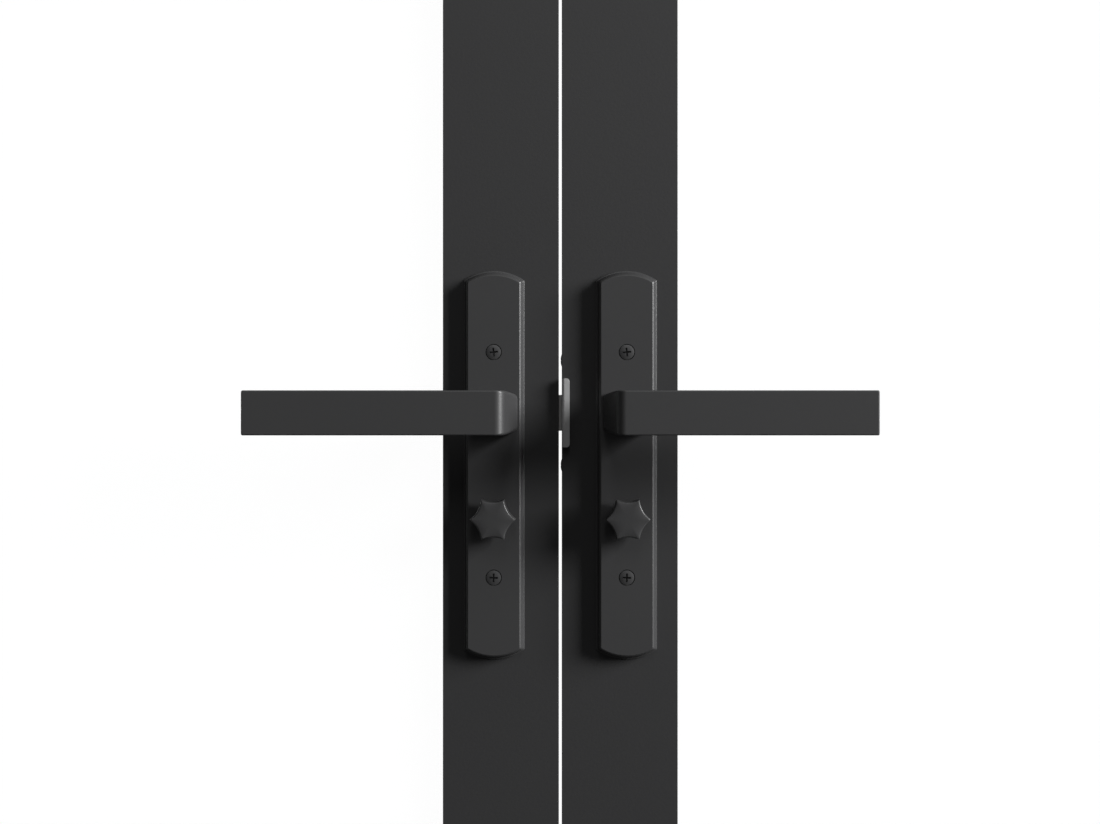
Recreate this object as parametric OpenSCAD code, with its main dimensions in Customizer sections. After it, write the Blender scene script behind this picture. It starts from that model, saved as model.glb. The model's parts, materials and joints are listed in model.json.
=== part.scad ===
// Pair of glazed aluminium french doors in their frame: narrow stiles, long handle plates with
// levers and star turns, a latch and deadbolt in the left leaf and shoot bolts in the right.
// X runs across the doors, Y from the side that they open to towards the back, Z up.
// The origin is on the floor, under the gap between the leaves and the middle of their thickness.

/* [Frame] */
// Overall width of the frame
frame_w = 1500; // [1200:10:2000]
// Overall height of the frame
frame_h = 2100; // [1700:10:2600]
// Depth of the frame, front to back
frame_d = 70; // [66:1:110]
// Face width of the jambs and the head
jamb_w = 45; // [36:1:70]
// Wall of the frame profiles
frame_wall = 2; // [1.6:0.1:3]
// How far the stop stands in from the jamb
stop_h = 14; // [10:1:20]
// Thickness of the stop, front to back
stop_t = 15; // [10:1:20]
// Height of the sill under the leaves
sill_h = 22; // [18:1:40]
// Space that the seal fills between a leaf and the stop
seal_t = 3; // [2:0.5:5]

/* [Leaves] */
// Thickness of a leaf
leaf_t = 38; // [34:1:46]
// Face width of the stiles
stile_w = 70; // [66:1:100]
// Height of the top rail
top_rail_h = 70; // [50:1:120]
// Height of the bottom rail
bottom_rail_h = 120; // [60:1:250]
// Wall of the stiles and rails
leaf_wall = 1.8; // [1.4:0.1:2.4]
// Wall of the stile at its hinge or lock edge
edge_wall = 4; // [3.5:0.1:5]
// Gap between the two leaves
meet_gap = 1.8; // [1.6:0.1:5]
// Gap between a leaf and its jamb
hinge_gap = 3; // [2.8:0.1:4]
// Gap between a leaf and the head
head_gap = 3; // [2.5:0.5:6]
// Gap between a leaf and the sill
sill_gap = 5; // [4:0.5:10]

/* [Glazing] */
// Thickness of the glass
glass_t = 6; // [4:1:10]
// Width of the glazing pocket, and of the beads that close it
bead_w = 14; // [12:1:16]
// Thickness of the stile's lip in front of the glass
lip_t = 4; // [3:0.5:5]
// Thickness of each glazing gasket
gasket_t = 3; // [2:0.5:4]
// Space between the glass edge and the bottom of its pocket
glass_space = 4; // [3:0.5:6]
// Wall of the beads
bead_wall = 1.5; // [1:0.1:2]

/* [Hinges] */
// Length of a hinge
hinge_l = 100; // [75:5:150]
// Radius of a hinge knuckle
knuckle_r = 6; // [5.5:0.5:8]
// Radius of a hinge pin
hinge_pin_r = 3; // [2.5:0.5:4]
// Thickness of a hinge leaf
hinge_t = 2; // [1.6:0.1:2.5]
// Depth of a hinge leaf, front to back
hinge_d = 30; // [24:1:32]
// Distance from the end of a leaf to the middle of its outer hinges
hinge_inset = 200; // [120:5:300]

/* [Handles] */
// Height of the lever's axis above the floor
lever_z = 1000; // [900:5:1100]
// Distance from the leaf's edge to the lever's axis
backset = 39; // [38:0.5:40]
// Distance from the lever's axis down to the star turn's
knob_drop = 63; // [60:0.5:66]
// Width of a handle plate at its foot
plate_w = 36.7; // [34:0.1:46]
// Height of a handle plate above the lever's axis
plate_up = 85.5; // [70:0.5:110]
// Height of a handle plate below the lever's axis
plate_down = 148.5; // [120:0.5:180]
// Thickness of a handle plate
plate_t = 8; // [7:0.5:11]
// How far the plate's face stands in from its foot
plate_draft = 2.7; // [1:0.1:4]
// Rise of the plate's curved ends
plate_crown = 5.8; // [2:0.1:10]
// Distance from the lever's axis up to the upper plate bolt
bolt_up = 36.4; // [34:0.1:60]
// Distance from the lever's axis down to the lower plate bolt
bolt_down = 98.8; // [96:0.1:125]
// Length of a lever from its axis to its tip
lever_reach = 142; // [100:1:170]
// Height of a lever's bar
lever_h = 25.7; // [20:0.1:30]
// Thickness of a lever's bar
lever_t = 11; // [8:0.5:14]
// Distance from the plate to the front of a lever
lever_stand = 50; // [44:1:60]
// Size of the square spindle
spindle_s = 8; // [7:0.5:8]
// Radius of the star turn across its points
knob_r = 13.8; // [11:0.1:16]
// Height of the star turn above its plate
knob_h = 18; // [14:0.5:24]

/* [Locks] */
// Throw of the latch past the leaf's edge
latch_out = 11; // [9:0.1:11.5]
// Height of the latch
latch_h = 22; // [18:0.5:24]
// Throw of the deadbolt
deadbolt_travel = 13; // [11:0.1:13.5]
// Radius of the crank pins that drive the shoot bolts
shoot_crank_r = 11; // [10:0.1:11.2]
// Height of the strike plate
strike_h = 81; // [76:1:110]
// Height of the strike plate's curled lip
strike_lip_h = 41.4; // [30:0.2:60]
// How far the strike's lip curls out over the leaf's face
strike_curl = 5; // [4:0.1:7]
// Height of the lock's forend
forend_h = 150; // [144:1:180]

/* [Hidden] */
$fn = 48;
eps = 0.01;

// Colours of the finishes
powder_coat = [0.2, 0.2, 0.21];
handle_coat = [0.17, 0.17, 0.18];
steel = [0.55, 0.55, 0.57];
zinc = [0.66, 0.67, 0.7];
rubber = [0.06, 0.06, 0.06];
nylon = [0.1, 0.1, 0.1];
glass = [0.85, 0.93, 0.95, 0.3];

// The leaves, in a leaf's own coordinates: u runs in from its meeting edge
leaf_w = (frame_w - 2 * jamb_w - 2 * hinge_gap - meet_gap) / 2;
leaf_z0 = sill_h + sill_gap;
leaf_z1 = frame_h - jamb_w - head_gap;
leaf_h = leaf_z1 - leaf_z0;
mid_y = leaf_t / 2;
pocket_u = stile_w - bead_w;
chamber_u = pocket_u - leaf_wall;
stop_y = leaf_t + seal_t;
glass_y = lip_t + gasket_t;
bead_y = glass_y + glass_t + gasket_t;
glass_z0 = leaf_z0 + bottom_rail_h - bead_w + glass_space;
glass_z1 = leaf_z1 - top_rail_h + bead_w - glass_space;
glass_u = pocket_u + glass_space;
fit = 0.2; // clearance of one piece inside another
bead_fit = 0.1; // of an upright bead between the level ones

// Hinges
hinge_play = 0.3; // between the two leaves of a closed hinge, and between knuckles
hinge_u = leaf_w + hinge_gap / 2;
hinge_y = -(knuckle_r + 0.5);
hinge_recess = (2 * hinge_t + hinge_play - hinge_gap) / 2;
knuckles = 5;
knuckle_l = hinge_l / knuckles;
pin_play = 0.06;
pin_cap_h = 2.5;
hinge_zs = [leaf_z0 + hinge_inset, (leaf_z0 + leaf_z1) / 2, leaf_z1 - hinge_inset];

// Countersunk screws
screw_head_r = 3.8;
screw_r = 1.9;
screw_l = 14;
screw_play = 0.1;
recess_r = 2.1;
recess_t = 0.9;
recess_d = 1.4;
sill_screw_l = 30;

// Handle plates and their bolts
knob_z = lever_z - knob_drop;
plate_foot = 2; // upright rim before the plate starts to draw in
plate_wall = 3;
boss_r = 12.5;
bolt_zs = [lever_z + bolt_up, lever_z - bolt_down];
bolt_r = 2.5;
bolt_head_r = 4.5;
bolt_sink = 2.4;
bolt_dome = 0.5;
post_r = 4.3;
post_l = leaf_t - 10;
bolt_l = plate_t + leaf_t - 12;
bolt_recess_r = 2.6;
bolt_recess_t = 1.1;
bolt_recess_d = 2;

// Levers
lever_lift = 0.4; // between a lever's neck and its plate
journal_r = 9;
running = 0.08;
neck_foot = 14.4; // half the width of the neck at the plate
neck_foot_h = lever_h - 2.3;
root = 7.5; // from the axis to the lever's rounded end, at its front
root_fillet = 6;
elbow_fillet = 8;
socket_l = 22;
collar_r = 8;
collar_h = 4;
turn_shaft_r = 3.9;
turn_square = 5.4;

// Left lock
case_t = 18;
case_wall = 1.5;
case_u1 = chamber_u - 1.2;
case_up = 28;
case_down = knob_drop + 20;
forend_t = 2;
forend_w = 20;
forend_up = 42;
forend_z0 = lever_z + forend_up - forend_h;
forend_screw_in = 6; // of a forend screw from the forend's end
cylinder_r = 8.5; // of the keyed cylinder behind the back plate
latch_t = 12;
latch_angle = 40; // turn of the lever that draws the latch
hub_r = 7.6;
arm_r = latch_out / (2 * sin(latch_angle / 2));
arm_tip_r = 2.5;
lug_u = backset - latch_out / 2 + arm_tip_r + 0.3;
lug_w = 3.5;
deadbolt_h = 20;
deadbolt_t = 10;
turn_angle = 90;
crank_r = deadbolt_travel / (2 * sin(turn_angle / 2));
crank_pin_r = 2;
crank_play = 0.5; // round the crank's pin in the deadbolt's slot
spring_wire_r = 0.6;
spring_r = hub_r + 1.6;

// Right shoot bolts and their lock slide
strike_t = 2;
strike_y0 = 3;
strike_y1 = mid_y + 11;
strike_hole_h = latch_h + 3;
strike_screw_dz = strike_h / 2 - 8.3;
strike_head_lift = 0.45;
gear_u0 = 16;
gear_up = 26;
gear_down = knob_drop + 14;
rod_t = 4;
rod_y = mid_y - 5;
shoot_pin_r = 1.75;
shoot_play = 0.5;
shoot_hub_waist = 6.8;
rod_in = shoot_hub_waist + 0.3; // from the spindle's axis to the near side of a rod
rod_out = shoot_crank_r + shoot_pin_r + shoot_play + 1.1; // 1.1 is the wall beyond the fork
rod_w = rod_out - rod_in;
top_rod_u = backset - (rod_in + rod_out) / 2;
bottom_rod_u = backset + (rod_in + rod_out) / 2;
rod_tip_r = 3.4;
rod_tip_l = 60;
rod_tip_back = 1; // of a withdrawn shoot bolt's tip inside the leaf's end
shoot_travel = 2 * shoot_crank_r * sin(45);
keep_t = 1.2;
keep_play = 0.5; // round a shoot bolt in its keep
shoot_hole_play = 0.8; // round a shoot bolt in the frame
keep_w = 26;
keep_l = 64;
slide_crank_r = 6.5;
slide_travel = 2 * slide_crank_r * sin(45);
slide_entry = 3.5; // of the thrown slide into a notch of the lower rod
slide_h = 8;
slide_z0 = knob_z + turn_shaft_r + 0.4;
cap_l = 14;

// Frame fixings, beside the hinges
fixing_r = 4;
fixing_access_r = 8;
fixing_y = 21;
fixing_from_hinge = hinge_l / 2 + 90;
fixing_zs = [
    hinge_zs[0] + fixing_from_hinge, hinge_zs[1] - fixing_from_hinge,
    hinge_zs[1] + fixing_from_hinge, hinge_zs[2] - fixing_from_hinge
];

// The modules below are built with y = 0 in the plane of the leaves' front faces
module placed() translate([0, -leaf_t / 2, 0]) children();

// A leaf's coordinates to the pair's: side 1 is the right leaf, -1 the left
module leaf_side(side) {
    if (side > 0) translate([meet_gap / 2, 0, 0]) children();
    else mirror([1, 0, 0]) translate([meet_gap / 2, 0, 0]) children();
}

// A box from its low corner to its high corner
module span(low, high) translate(low) cube(high - low);

// A cylinder along +Y from y0 to y1, at u and z
module along_y(r, u, z, y0, y1) translate([u, y0, z]) rotate([-90, 0, 0]) cylinder(r = r, h = y1 - y0);

// A cylinder along +X from u0 to u1, at y and z
module along_u(r, y, z, u0, u1) translate([u0, y, z]) rotate([0, 90, 0]) cylinder(r = r, h = u1 - u0);

// Cross recess for a driver, cut down from z = 0
module cross_recess(r, t, depth)
    for (turn = [0, 90]) rotate([0, 0, turn])
        translate([-r, -t / 2, -depth]) cube([2 * r, t, depth + 1]);

// Countersunk screw standing head up, with its head flush at z = 0, or raised by lift
module csk_screw(length = screw_l, lift = 0) {
    sink = screw_head_r - screw_r;
    difference() {
        union() {
            translate([0, 0, -sink]) cylinder(r1 = screw_r, r2 = screw_head_r, h = sink);
            if (lift > 0) cylinder(r1 = screw_head_r, r2 = screw_head_r - lift, h = lift);
            translate([0, 0, -length]) cylinder(r = screw_r, h = length - sink + eps);
        }
        translate([0, 0, lift]) cross_recess(recess_r, recess_t, recess_d);
    }
}

// The hole that a countersunk screw leaves in the piece it holds
module csk_hole(length = screw_l) {
    sink = screw_head_r - screw_r;
    translate([0, 0, -sink]) cylinder(r1 = screw_r + screw_play, r2 = screw_head_r + screw_play, h = sink + eps);
    translate([0, 0, -length - 1]) cylinder(r = screw_r + screw_play, h = length + 1 - sink + eps);
    cylinder(r = screw_head_r + screw_play, h = 2);
}

// ---------------------------------------------------------------- frame

// Section of the jambs and head: d runs in from the outer face, y from front to back
module frame_section() {
    difference() {
        union() {
            square([jamb_w, frame_d]);
            translate([jamb_w - eps, stop_y]) square([stop_h + eps, stop_t]);
        }
        translate([frame_wall, frame_wall]) square([jamb_w - 2 * frame_wall, frame_d - 2 * frame_wall]);
        translate([jamb_w, stop_y + frame_wall]) square([stop_h - frame_wall, stop_t - 2 * frame_wall]);
    }
}

// Everything outside the mitre of a left-hand upper corner, in x and z
module mitred(points) translate([0, frame_d + 1, 0]) rotate([90, 0, 0]) linear_extrude(frame_d + 2) polygon(points);

module frame_head() {
    reach = jamb_w + stop_h;
    color(powder_coat) difference() {
        intersection() {
            translate([-frame_w / 2, 0, frame_h]) rotate([0, 90, 0]) linear_extrude(frame_w) frame_section();
            mitred([[-frame_w / 2, frame_h], [frame_w / 2, frame_h],
                    [frame_w / 2 - reach, frame_h - reach], [-frame_w / 2 + reach, frame_h - reach]]);
        }
        // pocket for the upper shoot bolt, and its keep's screws
        translate([top_rod_x(), rod_y + rod_t / 2, frame_h - jamb_w - 1])
            cylinder(r = rod_tip_r + shoot_hole_play, h = frame_wall + 2);
        keep_places(frame_h - jamb_w, 1, top_rod_x()) csk_hole();
    }
}

module frame_jamb(side) {
    reach = jamb_w + stop_h;
    color(powder_coat) scale([side, 1, 1]) difference() {
        intersection() {
            translate([frame_w / 2, 0, 0]) mirror([1, 0, 0]) linear_extrude(frame_h) frame_section();
            mitred([[frame_w / 2, 0], [frame_w / 2, frame_h],
                    [frame_w / 2 - reach, frame_h - reach], [frame_w / 2 - reach, 0]]);
        }
        // beds and screw holes of the frame's hinge leaves
        translate([meet_gap / 2, 0, 0]) for (z = hinge_zs) {
            span([hinge_u + hinge_gap / 2 - 1, -1, z - hinge_l / 2 - fit],
                 [hinge_u + hinge_gap / 2 + hinge_recess, hinge_d + fit, z + hinge_l / 2 + fit]);
            hinge_screws(z, 1) csk_hole();
        }
        // fixing holes into the wall, with a wider one for the driver
        for (z = fixing_zs) {
            along_u(fixing_r, fixing_y, z, frame_w / 2 - frame_wall - 1, frame_w / 2 + 1);
            along_u(fixing_access_r, fixing_y, z, frame_w / 2 - jamb_w - 1, frame_w / 2 - jamb_w + frame_wall + 1);
        }
        sill_screw_places() csk_hole(sill_screw_l);
    }
}

module frame_sill() {
    half = frame_w / 2 - jamb_w;
    nose = 4;
    color(powder_coat) difference() {
        translate([-half, 0, 0]) rotate([90, 0, 90]) linear_extrude(2 * half) difference() {
            union() {
                polygon([[0, 0], [frame_d, 0], [frame_d, sill_h], [nose, sill_h], [0, sill_h - nose]]);
                translate([stop_y, sill_h - eps]) square([stop_t, stop_h + eps]);
            }
            translate([nose, frame_wall])
                square([frame_d - frame_wall - nose, sill_h - 2 * frame_wall]);
            translate([stop_y + frame_wall, sill_h])
                square([stop_t - 2 * frame_wall, stop_h - frame_wall]);
        }
        // notches round the jambs' stops
        for (side = [-1, 1]) scale([side, 1, 1])
            span([half - stop_h, stop_y, -1], [half + 1, stop_y + stop_t, sill_h + stop_h + 1]);
        translate([bottom_rod_x(), rod_y + rod_t / 2, sill_h - frame_wall - 1])
            cylinder(r = rod_tip_r + shoot_hole_play, h = frame_wall + 2);
        keep_places(sill_h, -1, bottom_rod_x()) csk_hole();
    }
}

// Foam seals on the front of the four stops
module frame_seals() {
    half = frame_w / 2 - jamb_w;
    seal_w = stop_h - 4;
    y0 = leaf_t + 0.3;
    color(rubber) {
        for (side = [-1, 1]) scale([side, 1, 1])
            span([half - stop_h + 2, y0, sill_h], [half - stop_h + 2 + seal_w, stop_y, frame_h - jamb_w - 2]);
        span([-half + stop_h - 2, y0, frame_h - jamb_w - stop_h + 2],
             [half - stop_h + 2, stop_y, frame_h - jamb_w - stop_h + 2 + seal_w]);
        span([-half + stop_h - 2, y0, sill_h + 2], [half - stop_h + 2, stop_y, sill_h + 2 + seal_w]);
    }
}

// Screws from the jambs into the sill's ends
module sill_screw_places()
    for (y = [frame_d * 0.2, frame_d * 0.4])
        translate([frame_w / 2 - jamb_w + frame_wall, y, sill_h / 2]) rotate([0, 90, 0]) children();

// Places of a shoot bolt keep's two screws: they point up into the head, or down into the sill
module keep_places(z, up, x)
    for (dx = [-1, 1])
        translate([x + dx * (keep_l / 2 - 8), rod_y + rod_t / 2, z - up * keep_t])
            rotate([up > 0 ? 180 : 0, 0, 0]) children();

module shoot_bolt_keep(z, up, x) {
    y = rod_y + rod_t / 2;
    difference() {
        translate([x - keep_l / 2, y - keep_w / 2, up > 0 ? z - keep_t : z]) cube([keep_l, keep_w, keep_t]);
        translate([x, y, z - 5]) cylinder(r = rod_tip_r + keep_play, h = 10);
        keep_places(z, up, x) csk_hole();
    }
}

module shoot_bolt_keeps() color(steel) {
    shoot_bolt_keep(frame_h - jamb_w, 1, top_rod_x());
    shoot_bolt_keep(sill_h, -1, bottom_rod_x());
}

module frame_screws() color(steel) {
    for (side = [-1, 1]) leaf_side(side) for (z = hinge_zs) hinge_screws(z, 1) csk_screw();
    keep_places(frame_h - jamb_w, 1, top_rod_x()) csk_screw();
    keep_places(sill_h, -1, bottom_rod_x()) csk_screw();
}

// ---------------------------------------------------------------- hinges

// Places of one hinge leaf's screws: on the frame (out = 1) or the door (out = -1)
module hinge_screws(z, out)
    for (k = [-1, 0, 1])
        translate([hinge_u + out * hinge_play / 2, hinge_d * (k == 0 ? 0.72 : 0.42), z + k * hinge_l * 0.36])
            rotate([0, out > 0 ? -90 : 90, 0]) children();

// One leaf of a hinge with its knuckles; the frame's has the odd ones
module hinge_leaf(z, out) {
    near = hinge_u + out * hinge_play / 2;
    far = near + out * hinge_t;
    own = [for (k = [0 : knuckles - 1]) if ((k % 2 == 0) == (out > 0)) k];
    difference() {
        union() {
            span([min(near, far), 0, z - hinge_l / 2], [max(near, far), hinge_d, z + hinge_l / 2]);
            for (k = own) {
                z0 = z - hinge_l / 2 + k * knuckle_l + (k == 0 ? 0 : hinge_play / 2);
                z1 = z - hinge_l / 2 + (k + 1) * knuckle_l - (k == knuckles - 1 ? 0 : hinge_play / 2);
                translate([hinge_u, hinge_y, z0]) cylinder(r = knuckle_r, h = z1 - z0);
                span([min(near, far), hinge_y + knuckle_r - 2.4, z0], [max(near, far), eps, z1]);
            }
        }
        translate([hinge_u, hinge_y, z - hinge_l]) cylinder(r = hinge_pin_r + pin_play, h = 2 * hinge_l);
        hinge_screws(z, out) csk_hole();
    }
}

module frame_hinge_leaves() color(handle_coat)
    for (side = [-1, 1]) leaf_side(side) for (z = hinge_zs) hinge_leaf(z, 1);

module door_hinge_leaves(side) color(handle_coat) leaf_side(side) for (z = hinge_zs) hinge_leaf(z, -1);

// Pins with a cap at each end, resting on the frame's knuckles
module hinge_pins() color(handle_coat)
    for (side = [-1, 1]) leaf_side(side) for (z = hinge_zs) translate([hinge_u, hinge_y, z]) {
        translate([0, 0, -hinge_l / 2 - pin_cap_h]) cylinder(r = hinge_pin_r, h = hinge_l + 2 * pin_cap_h);
        for (up = [0, 1]) mirror([0, 0, up]) translate([0, 0, hinge_l / 2])
            cylinder(r1 = knuckle_r, r2 = knuckle_r - 1.2, h = pin_cap_h);
    }

// ---------------------------------------------------------------- leaves

// Section of a stile or rail of width w: u runs in from its outer edge, with a lip in front of the glass
module leaf_section(w, outer_wall) {
    difference() {
        union() {
            square([w - bead_w, leaf_t]);
            square([w, lip_t]);
        }
        translate([outer_wall, leaf_wall])
            square([w - bead_w - leaf_wall - outer_wall, leaf_t - 2 * leaf_wall]);
    }
}

module stile() translate([0, 0, leaf_z0]) linear_extrude(leaf_h) leaf_section(stile_w, edge_wall);

// Holes through a meeting stile's two faces for the lever, the turn and the plate bolts
module handle_holes() {
    along_y(journal_r + 1.5, backset, lever_z, -1, leaf_t + 1);
    along_y(turn_shaft_r + 1.2, backset, knob_z, -1, leaf_t / 2);
    for (z = bolt_zs) {
        along_y(bolt_r + 0.4, backset, z, -1, leaf_t / 2);
        along_y(post_r + fit, backset, z, leaf_t / 2, leaf_t + 1);
    }
}

module hinge_stile(side) color(powder_coat) leaf_side(side) difference() {
    translate([leaf_w, 0, 0]) mirror([1, 0, 0]) stile();
    for (z = hinge_zs) {
        span([leaf_w - hinge_recess, -1, z - hinge_l / 2 - fit], [leaf_w + 1, hinge_d + fit, z + hinge_l / 2 + fit]);
        hinge_screws(z, -1) csk_hole();
    }
}

module left_meeting_stile() color(powder_coat) leaf_side(-1) difference() {
    stile();
    handle_holes();
    along_y(cylinder_r + fit, backset, knob_z, leaf_t / 2, leaf_t + 1);
    span([-1, mid_y - forend_w / 2 - 0.1, forend_z0 - 0.1],
         [forend_t, mid_y + forend_w / 2 + 0.1, forend_z0 + forend_h + 0.1]);
    span([-1, mid_y - case_t / 2 - fit, lever_z - case_down - fit],
         [edge_wall + 1, mid_y + case_t / 2 + fit, lever_z + case_up + fit]);
    forend_screws() csk_hole();
}

module right_meeting_stile() color(powder_coat) leaf_side(1) difference() {
    stile();
    handle_holes();
    span([-1, strike_y0 - 0.1, lever_z - strike_h / 2 - 0.1], [strike_t, strike_y1 + 0.1, lever_z + strike_h / 2 + 0.1]);
    span([-1, -1, lever_z - strike_lip_h / 2 - 0.1], [strike_t + 0.1, strike_y0, lever_z + strike_lip_h / 2 + 0.1]);
    span([-1, mid_y - latch_t / 2 - 1, lever_z - strike_hole_h / 2],
         [edge_wall + 1, mid_y + latch_t / 2 + 1, lever_z + strike_hole_h / 2]);
    span([-1, mid_y - deadbolt_t / 2 - 0.8, knob_z - deadbolt_h / 2 - 0.8],
         [edge_wall + 1, mid_y + deadbolt_t / 2 + 0.8, knob_z + deadbolt_h / 2 + 0.8]);
    strike_screws() csk_hole();
}

// A rail lies between the stiles' chambers, and its ends are cut round their lips
module rail(side, h, z_out, up) color(powder_coat) leaf_side(side) difference() {
    translate([pocket_u, 0, z_out]) mirror([0, 0, up > 0 ? 0 : 1])
        rotate([90, 0, 90]) linear_extrude(leaf_w - 2 * pocket_u) rail_section(h);
    for (u = [pocket_u - 1, leaf_w - stile_w])
        span([u, -1, min(z_out, z_out + up * h) - 1], [u + bead_w + 1, lip_t, max(z_out, z_out + up * h) + 1]);
}

// The leaf's section turned so that it rises from the rail's outer edge
module rail_section(h) mirror([1, 0]) rotate([0, 0, 90]) leaf_section(h, leaf_wall);

module top_rail(side) rail(side, top_rail_h, leaf_z1, -1);

module bottom_rail(side) rail(side, bottom_rail_h, leaf_z0, 1);

// Open-sided blocks that tie the rails to the stiles
module corner_blocks(side) {
    reach = 45;
    wall = 3;
    y0 = lip_t + fit;
    y1 = leaf_t - leaf_wall - fit;
    color(zinc) leaf_side(side)
        for (z = [[leaf_z0 + leaf_wall + fit, leaf_z0 + bottom_rail_h - bead_w - leaf_wall - fit],
                  [leaf_z1 - top_rail_h + bead_w + leaf_wall + fit, leaf_z1 - leaf_wall - fit]])
            for (flip = [0, 1]) translate([flip * leaf_w, 0, 0]) mirror([flip, 0, 0]) difference() {
                span([pocket_u, y0, z[0]], [pocket_u + reach, y1, z[1]]);
                span([pocket_u + wall, y0 + wall, z[0] + wall], [pocket_u + reach + 1, y1 - wall, z[1] - wall]);
            }
}

// Plugs in the open ends of the stiles; the right leaf's guide its shoot bolts
module end_caps(side) color(nylon) leaf_side(side) difference() {
    for (flip = [0, 1]) translate([flip * leaf_w, 0, 0]) mirror([flip, 0, 0])
        for (z = [leaf_z0, leaf_z1 - cap_l])
            span([edge_wall + fit, leaf_wall + fit, z], [chamber_u - fit, leaf_t - leaf_wall - fit, z + cap_l]);
    if (side > 0) for (rod = [[top_rod_u, leaf_z1], [bottom_rod_u, leaf_z0]])
        translate([rod[0], rod_y + rod_t / 2, rod[1] - cap_l - 1]) cylinder(r = rod_tip_r + running, h = 2 * cap_l + 2);
}

module glass_pane(side) color(glass) leaf_side(side)
    span([glass_u, glass_y, glass_z0], [leaf_w - glass_u, glass_y + glass_t, glass_z1]);

// One hollow glazing bead of the given outer size, open at its two ends along `along`
module bead(low, high, along) difference() {
    span(low, high);
    grow = [for (k = [0 : 2]) k == along ? 1 : -bead_wall];
    span(low - grow, high + grow);
}

module glazing_beads(side) {
    z0 = leaf_z0 + bottom_rail_h - bead_w;
    z1 = leaf_z1 - top_rail_h + bead_w;
    color(powder_coat) leaf_side(side) {
        for (z = [z0, z1 - bead_w])
            bead([pocket_u, bead_y, z], [leaf_w - pocket_u, leaf_t, z + bead_w], 0);
        for (u = [pocket_u, leaf_w - stile_w])
            bead([u, bead_y, z0 + bead_w + bead_fit], [u + bead_w, leaf_t, z1 - bead_w - bead_fit], 2);
    }
}

// Gaskets in front of and behind the glass, and the blocks that carry it
module glazing_rubbers(side) {
    z0 = leaf_z0 + bottom_rail_h;
    z1 = leaf_z1 - top_rail_h;
    outer = bead_w - glass_space - 1;
    block = 80;
    block_in = 40;
    color(rubber) leaf_side(side) {
        for (y = [lip_t, glass_y + glass_t]) difference() {
            span([stile_w - outer, y, z0 - outer], [leaf_w - stile_w + outer, y + gasket_t, z1 + outer]);
            span([stile_w, y - 1, z0], [leaf_w - stile_w, y + gasket_t + 1, z1]);
        }
        for (u = [stile_w + block_in, leaf_w - stile_w - block_in - block])
            span([u, glass_y, glass_z0 - glass_space], [u + block, glass_y + glass_t, glass_z0]);
    }
}

// ---------------------------------------------------------------- handle plates

// Outline of a handle plate about the lever's axis, drawn in by inset
module plate_outline(inset) {
    w = plate_w - 2 * inset;
    up = plate_up - 1.25 * inset;
    down = plate_down - 1.25 * inset;
    crown = plate_crown - 0.5 * inset;
    r = (w * w / 4 + crown * crown) / (2 * crown);
    translate([-w / 2, -down + crown]) square([w, up + down - 2 * crown]);
    for (end = [[0, up], [1, down]]) mirror([0, end[0]]) intersection() {
        translate([-w / 2, end[1] - crown - eps]) square([w, crown + 1]);
        translate([0, end[1] - r]) circle(r = r, $fn = 96);
    }
}

// A cast plate on the leaf's front face: hollow behind, with bosses at its holes
module handle_plate_body() {
    bosses = [[0, boss_r], [-knob_drop, boss_r], [bolt_up, 7], [-bolt_down, 7]];
    difference() {
        hull() {
            linear_extrude(plate_foot) plate_outline(0);
            linear_extrude(plate_t) plate_outline(plate_draft);
        }
        translate([0, 0, -eps]) linear_extrude(plate_t - plate_wall) difference() {
            plate_outline(plate_draft + plate_wall - 0.5);
            for (b = bosses) translate([0, b[0]]) circle(r = b[1]);
        }
        translate([0, 0, -1]) cylinder(r = journal_r + running, h = plate_t + 2);
    }
}

// Puts children that are built on z = 0 onto the leaf's front face, or onto its back
module on_front() translate([backset, 0, lever_z]) rotate([90, 0, 0]) children();

module on_back() translate([backset, leaf_t, lever_z]) mirror([0, 1, 0]) rotate([90, 0, 0]) children();

module front_plate(side) color(handle_coat) leaf_side(side) on_front() difference() {
    handle_plate_body();
    translate([0, -knob_drop, -1]) cylinder(r = turn_shaft_r + 1.2, h = plate_t + 2);
    for (z = [bolt_up, -bolt_down]) translate([0, z, 0]) {
        translate([0, 0, -1]) cylinder(r = bolt_r + 0.3, h = plate_t + 2);
        translate([0, 0, plate_t - bolt_sink])
            cylinder(r1 = bolt_r + 0.15, r2 = bolt_head_r + 0.15, h = bolt_sink + eps);
    }
}

// The back plate carries the posts that the plate bolts screw into
module back_plate(side) color(handle_coat) leaf_side(side) on_back() {
    difference() {
        union() {
            handle_plate_body();
            for (z = [bolt_up, -bolt_down])
                translate([0, z, -post_l]) cylinder(r = post_r, h = post_l + plate_wall);
        }
        for (z = [bolt_up, -bolt_down])
            translate([0, z, -post_l - 1]) cylinder(r = bolt_r + running, h = post_l + 3);
        if (side < 0) translate([0, -knob_drop, -1]) cylinder(r = cylinder_r + fit, h = plate_t + 2);
    }
}

// Machine screws through the front plate into the back plate's posts
module plate_bolts(side) color(handle_coat) leaf_side(side) on_front()
    for (z = [bolt_up, -bolt_down]) translate([0, z, plate_t]) difference() {
        union() {
            translate([0, 0, -bolt_sink]) cylinder(r1 = bolt_r, r2 = bolt_head_r, h = bolt_sink);
            cylinder(r1 = bolt_head_r, r2 = bolt_head_r - 1.5, h = bolt_dome);
            translate([0, 0, -bolt_l]) cylinder(r = bolt_r, h = bolt_l - bolt_sink + eps);
        }
        translate([0, 0, bolt_dome]) cross_recess(bolt_recess_r, bolt_recess_t, bolt_recess_d);
    }

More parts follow.
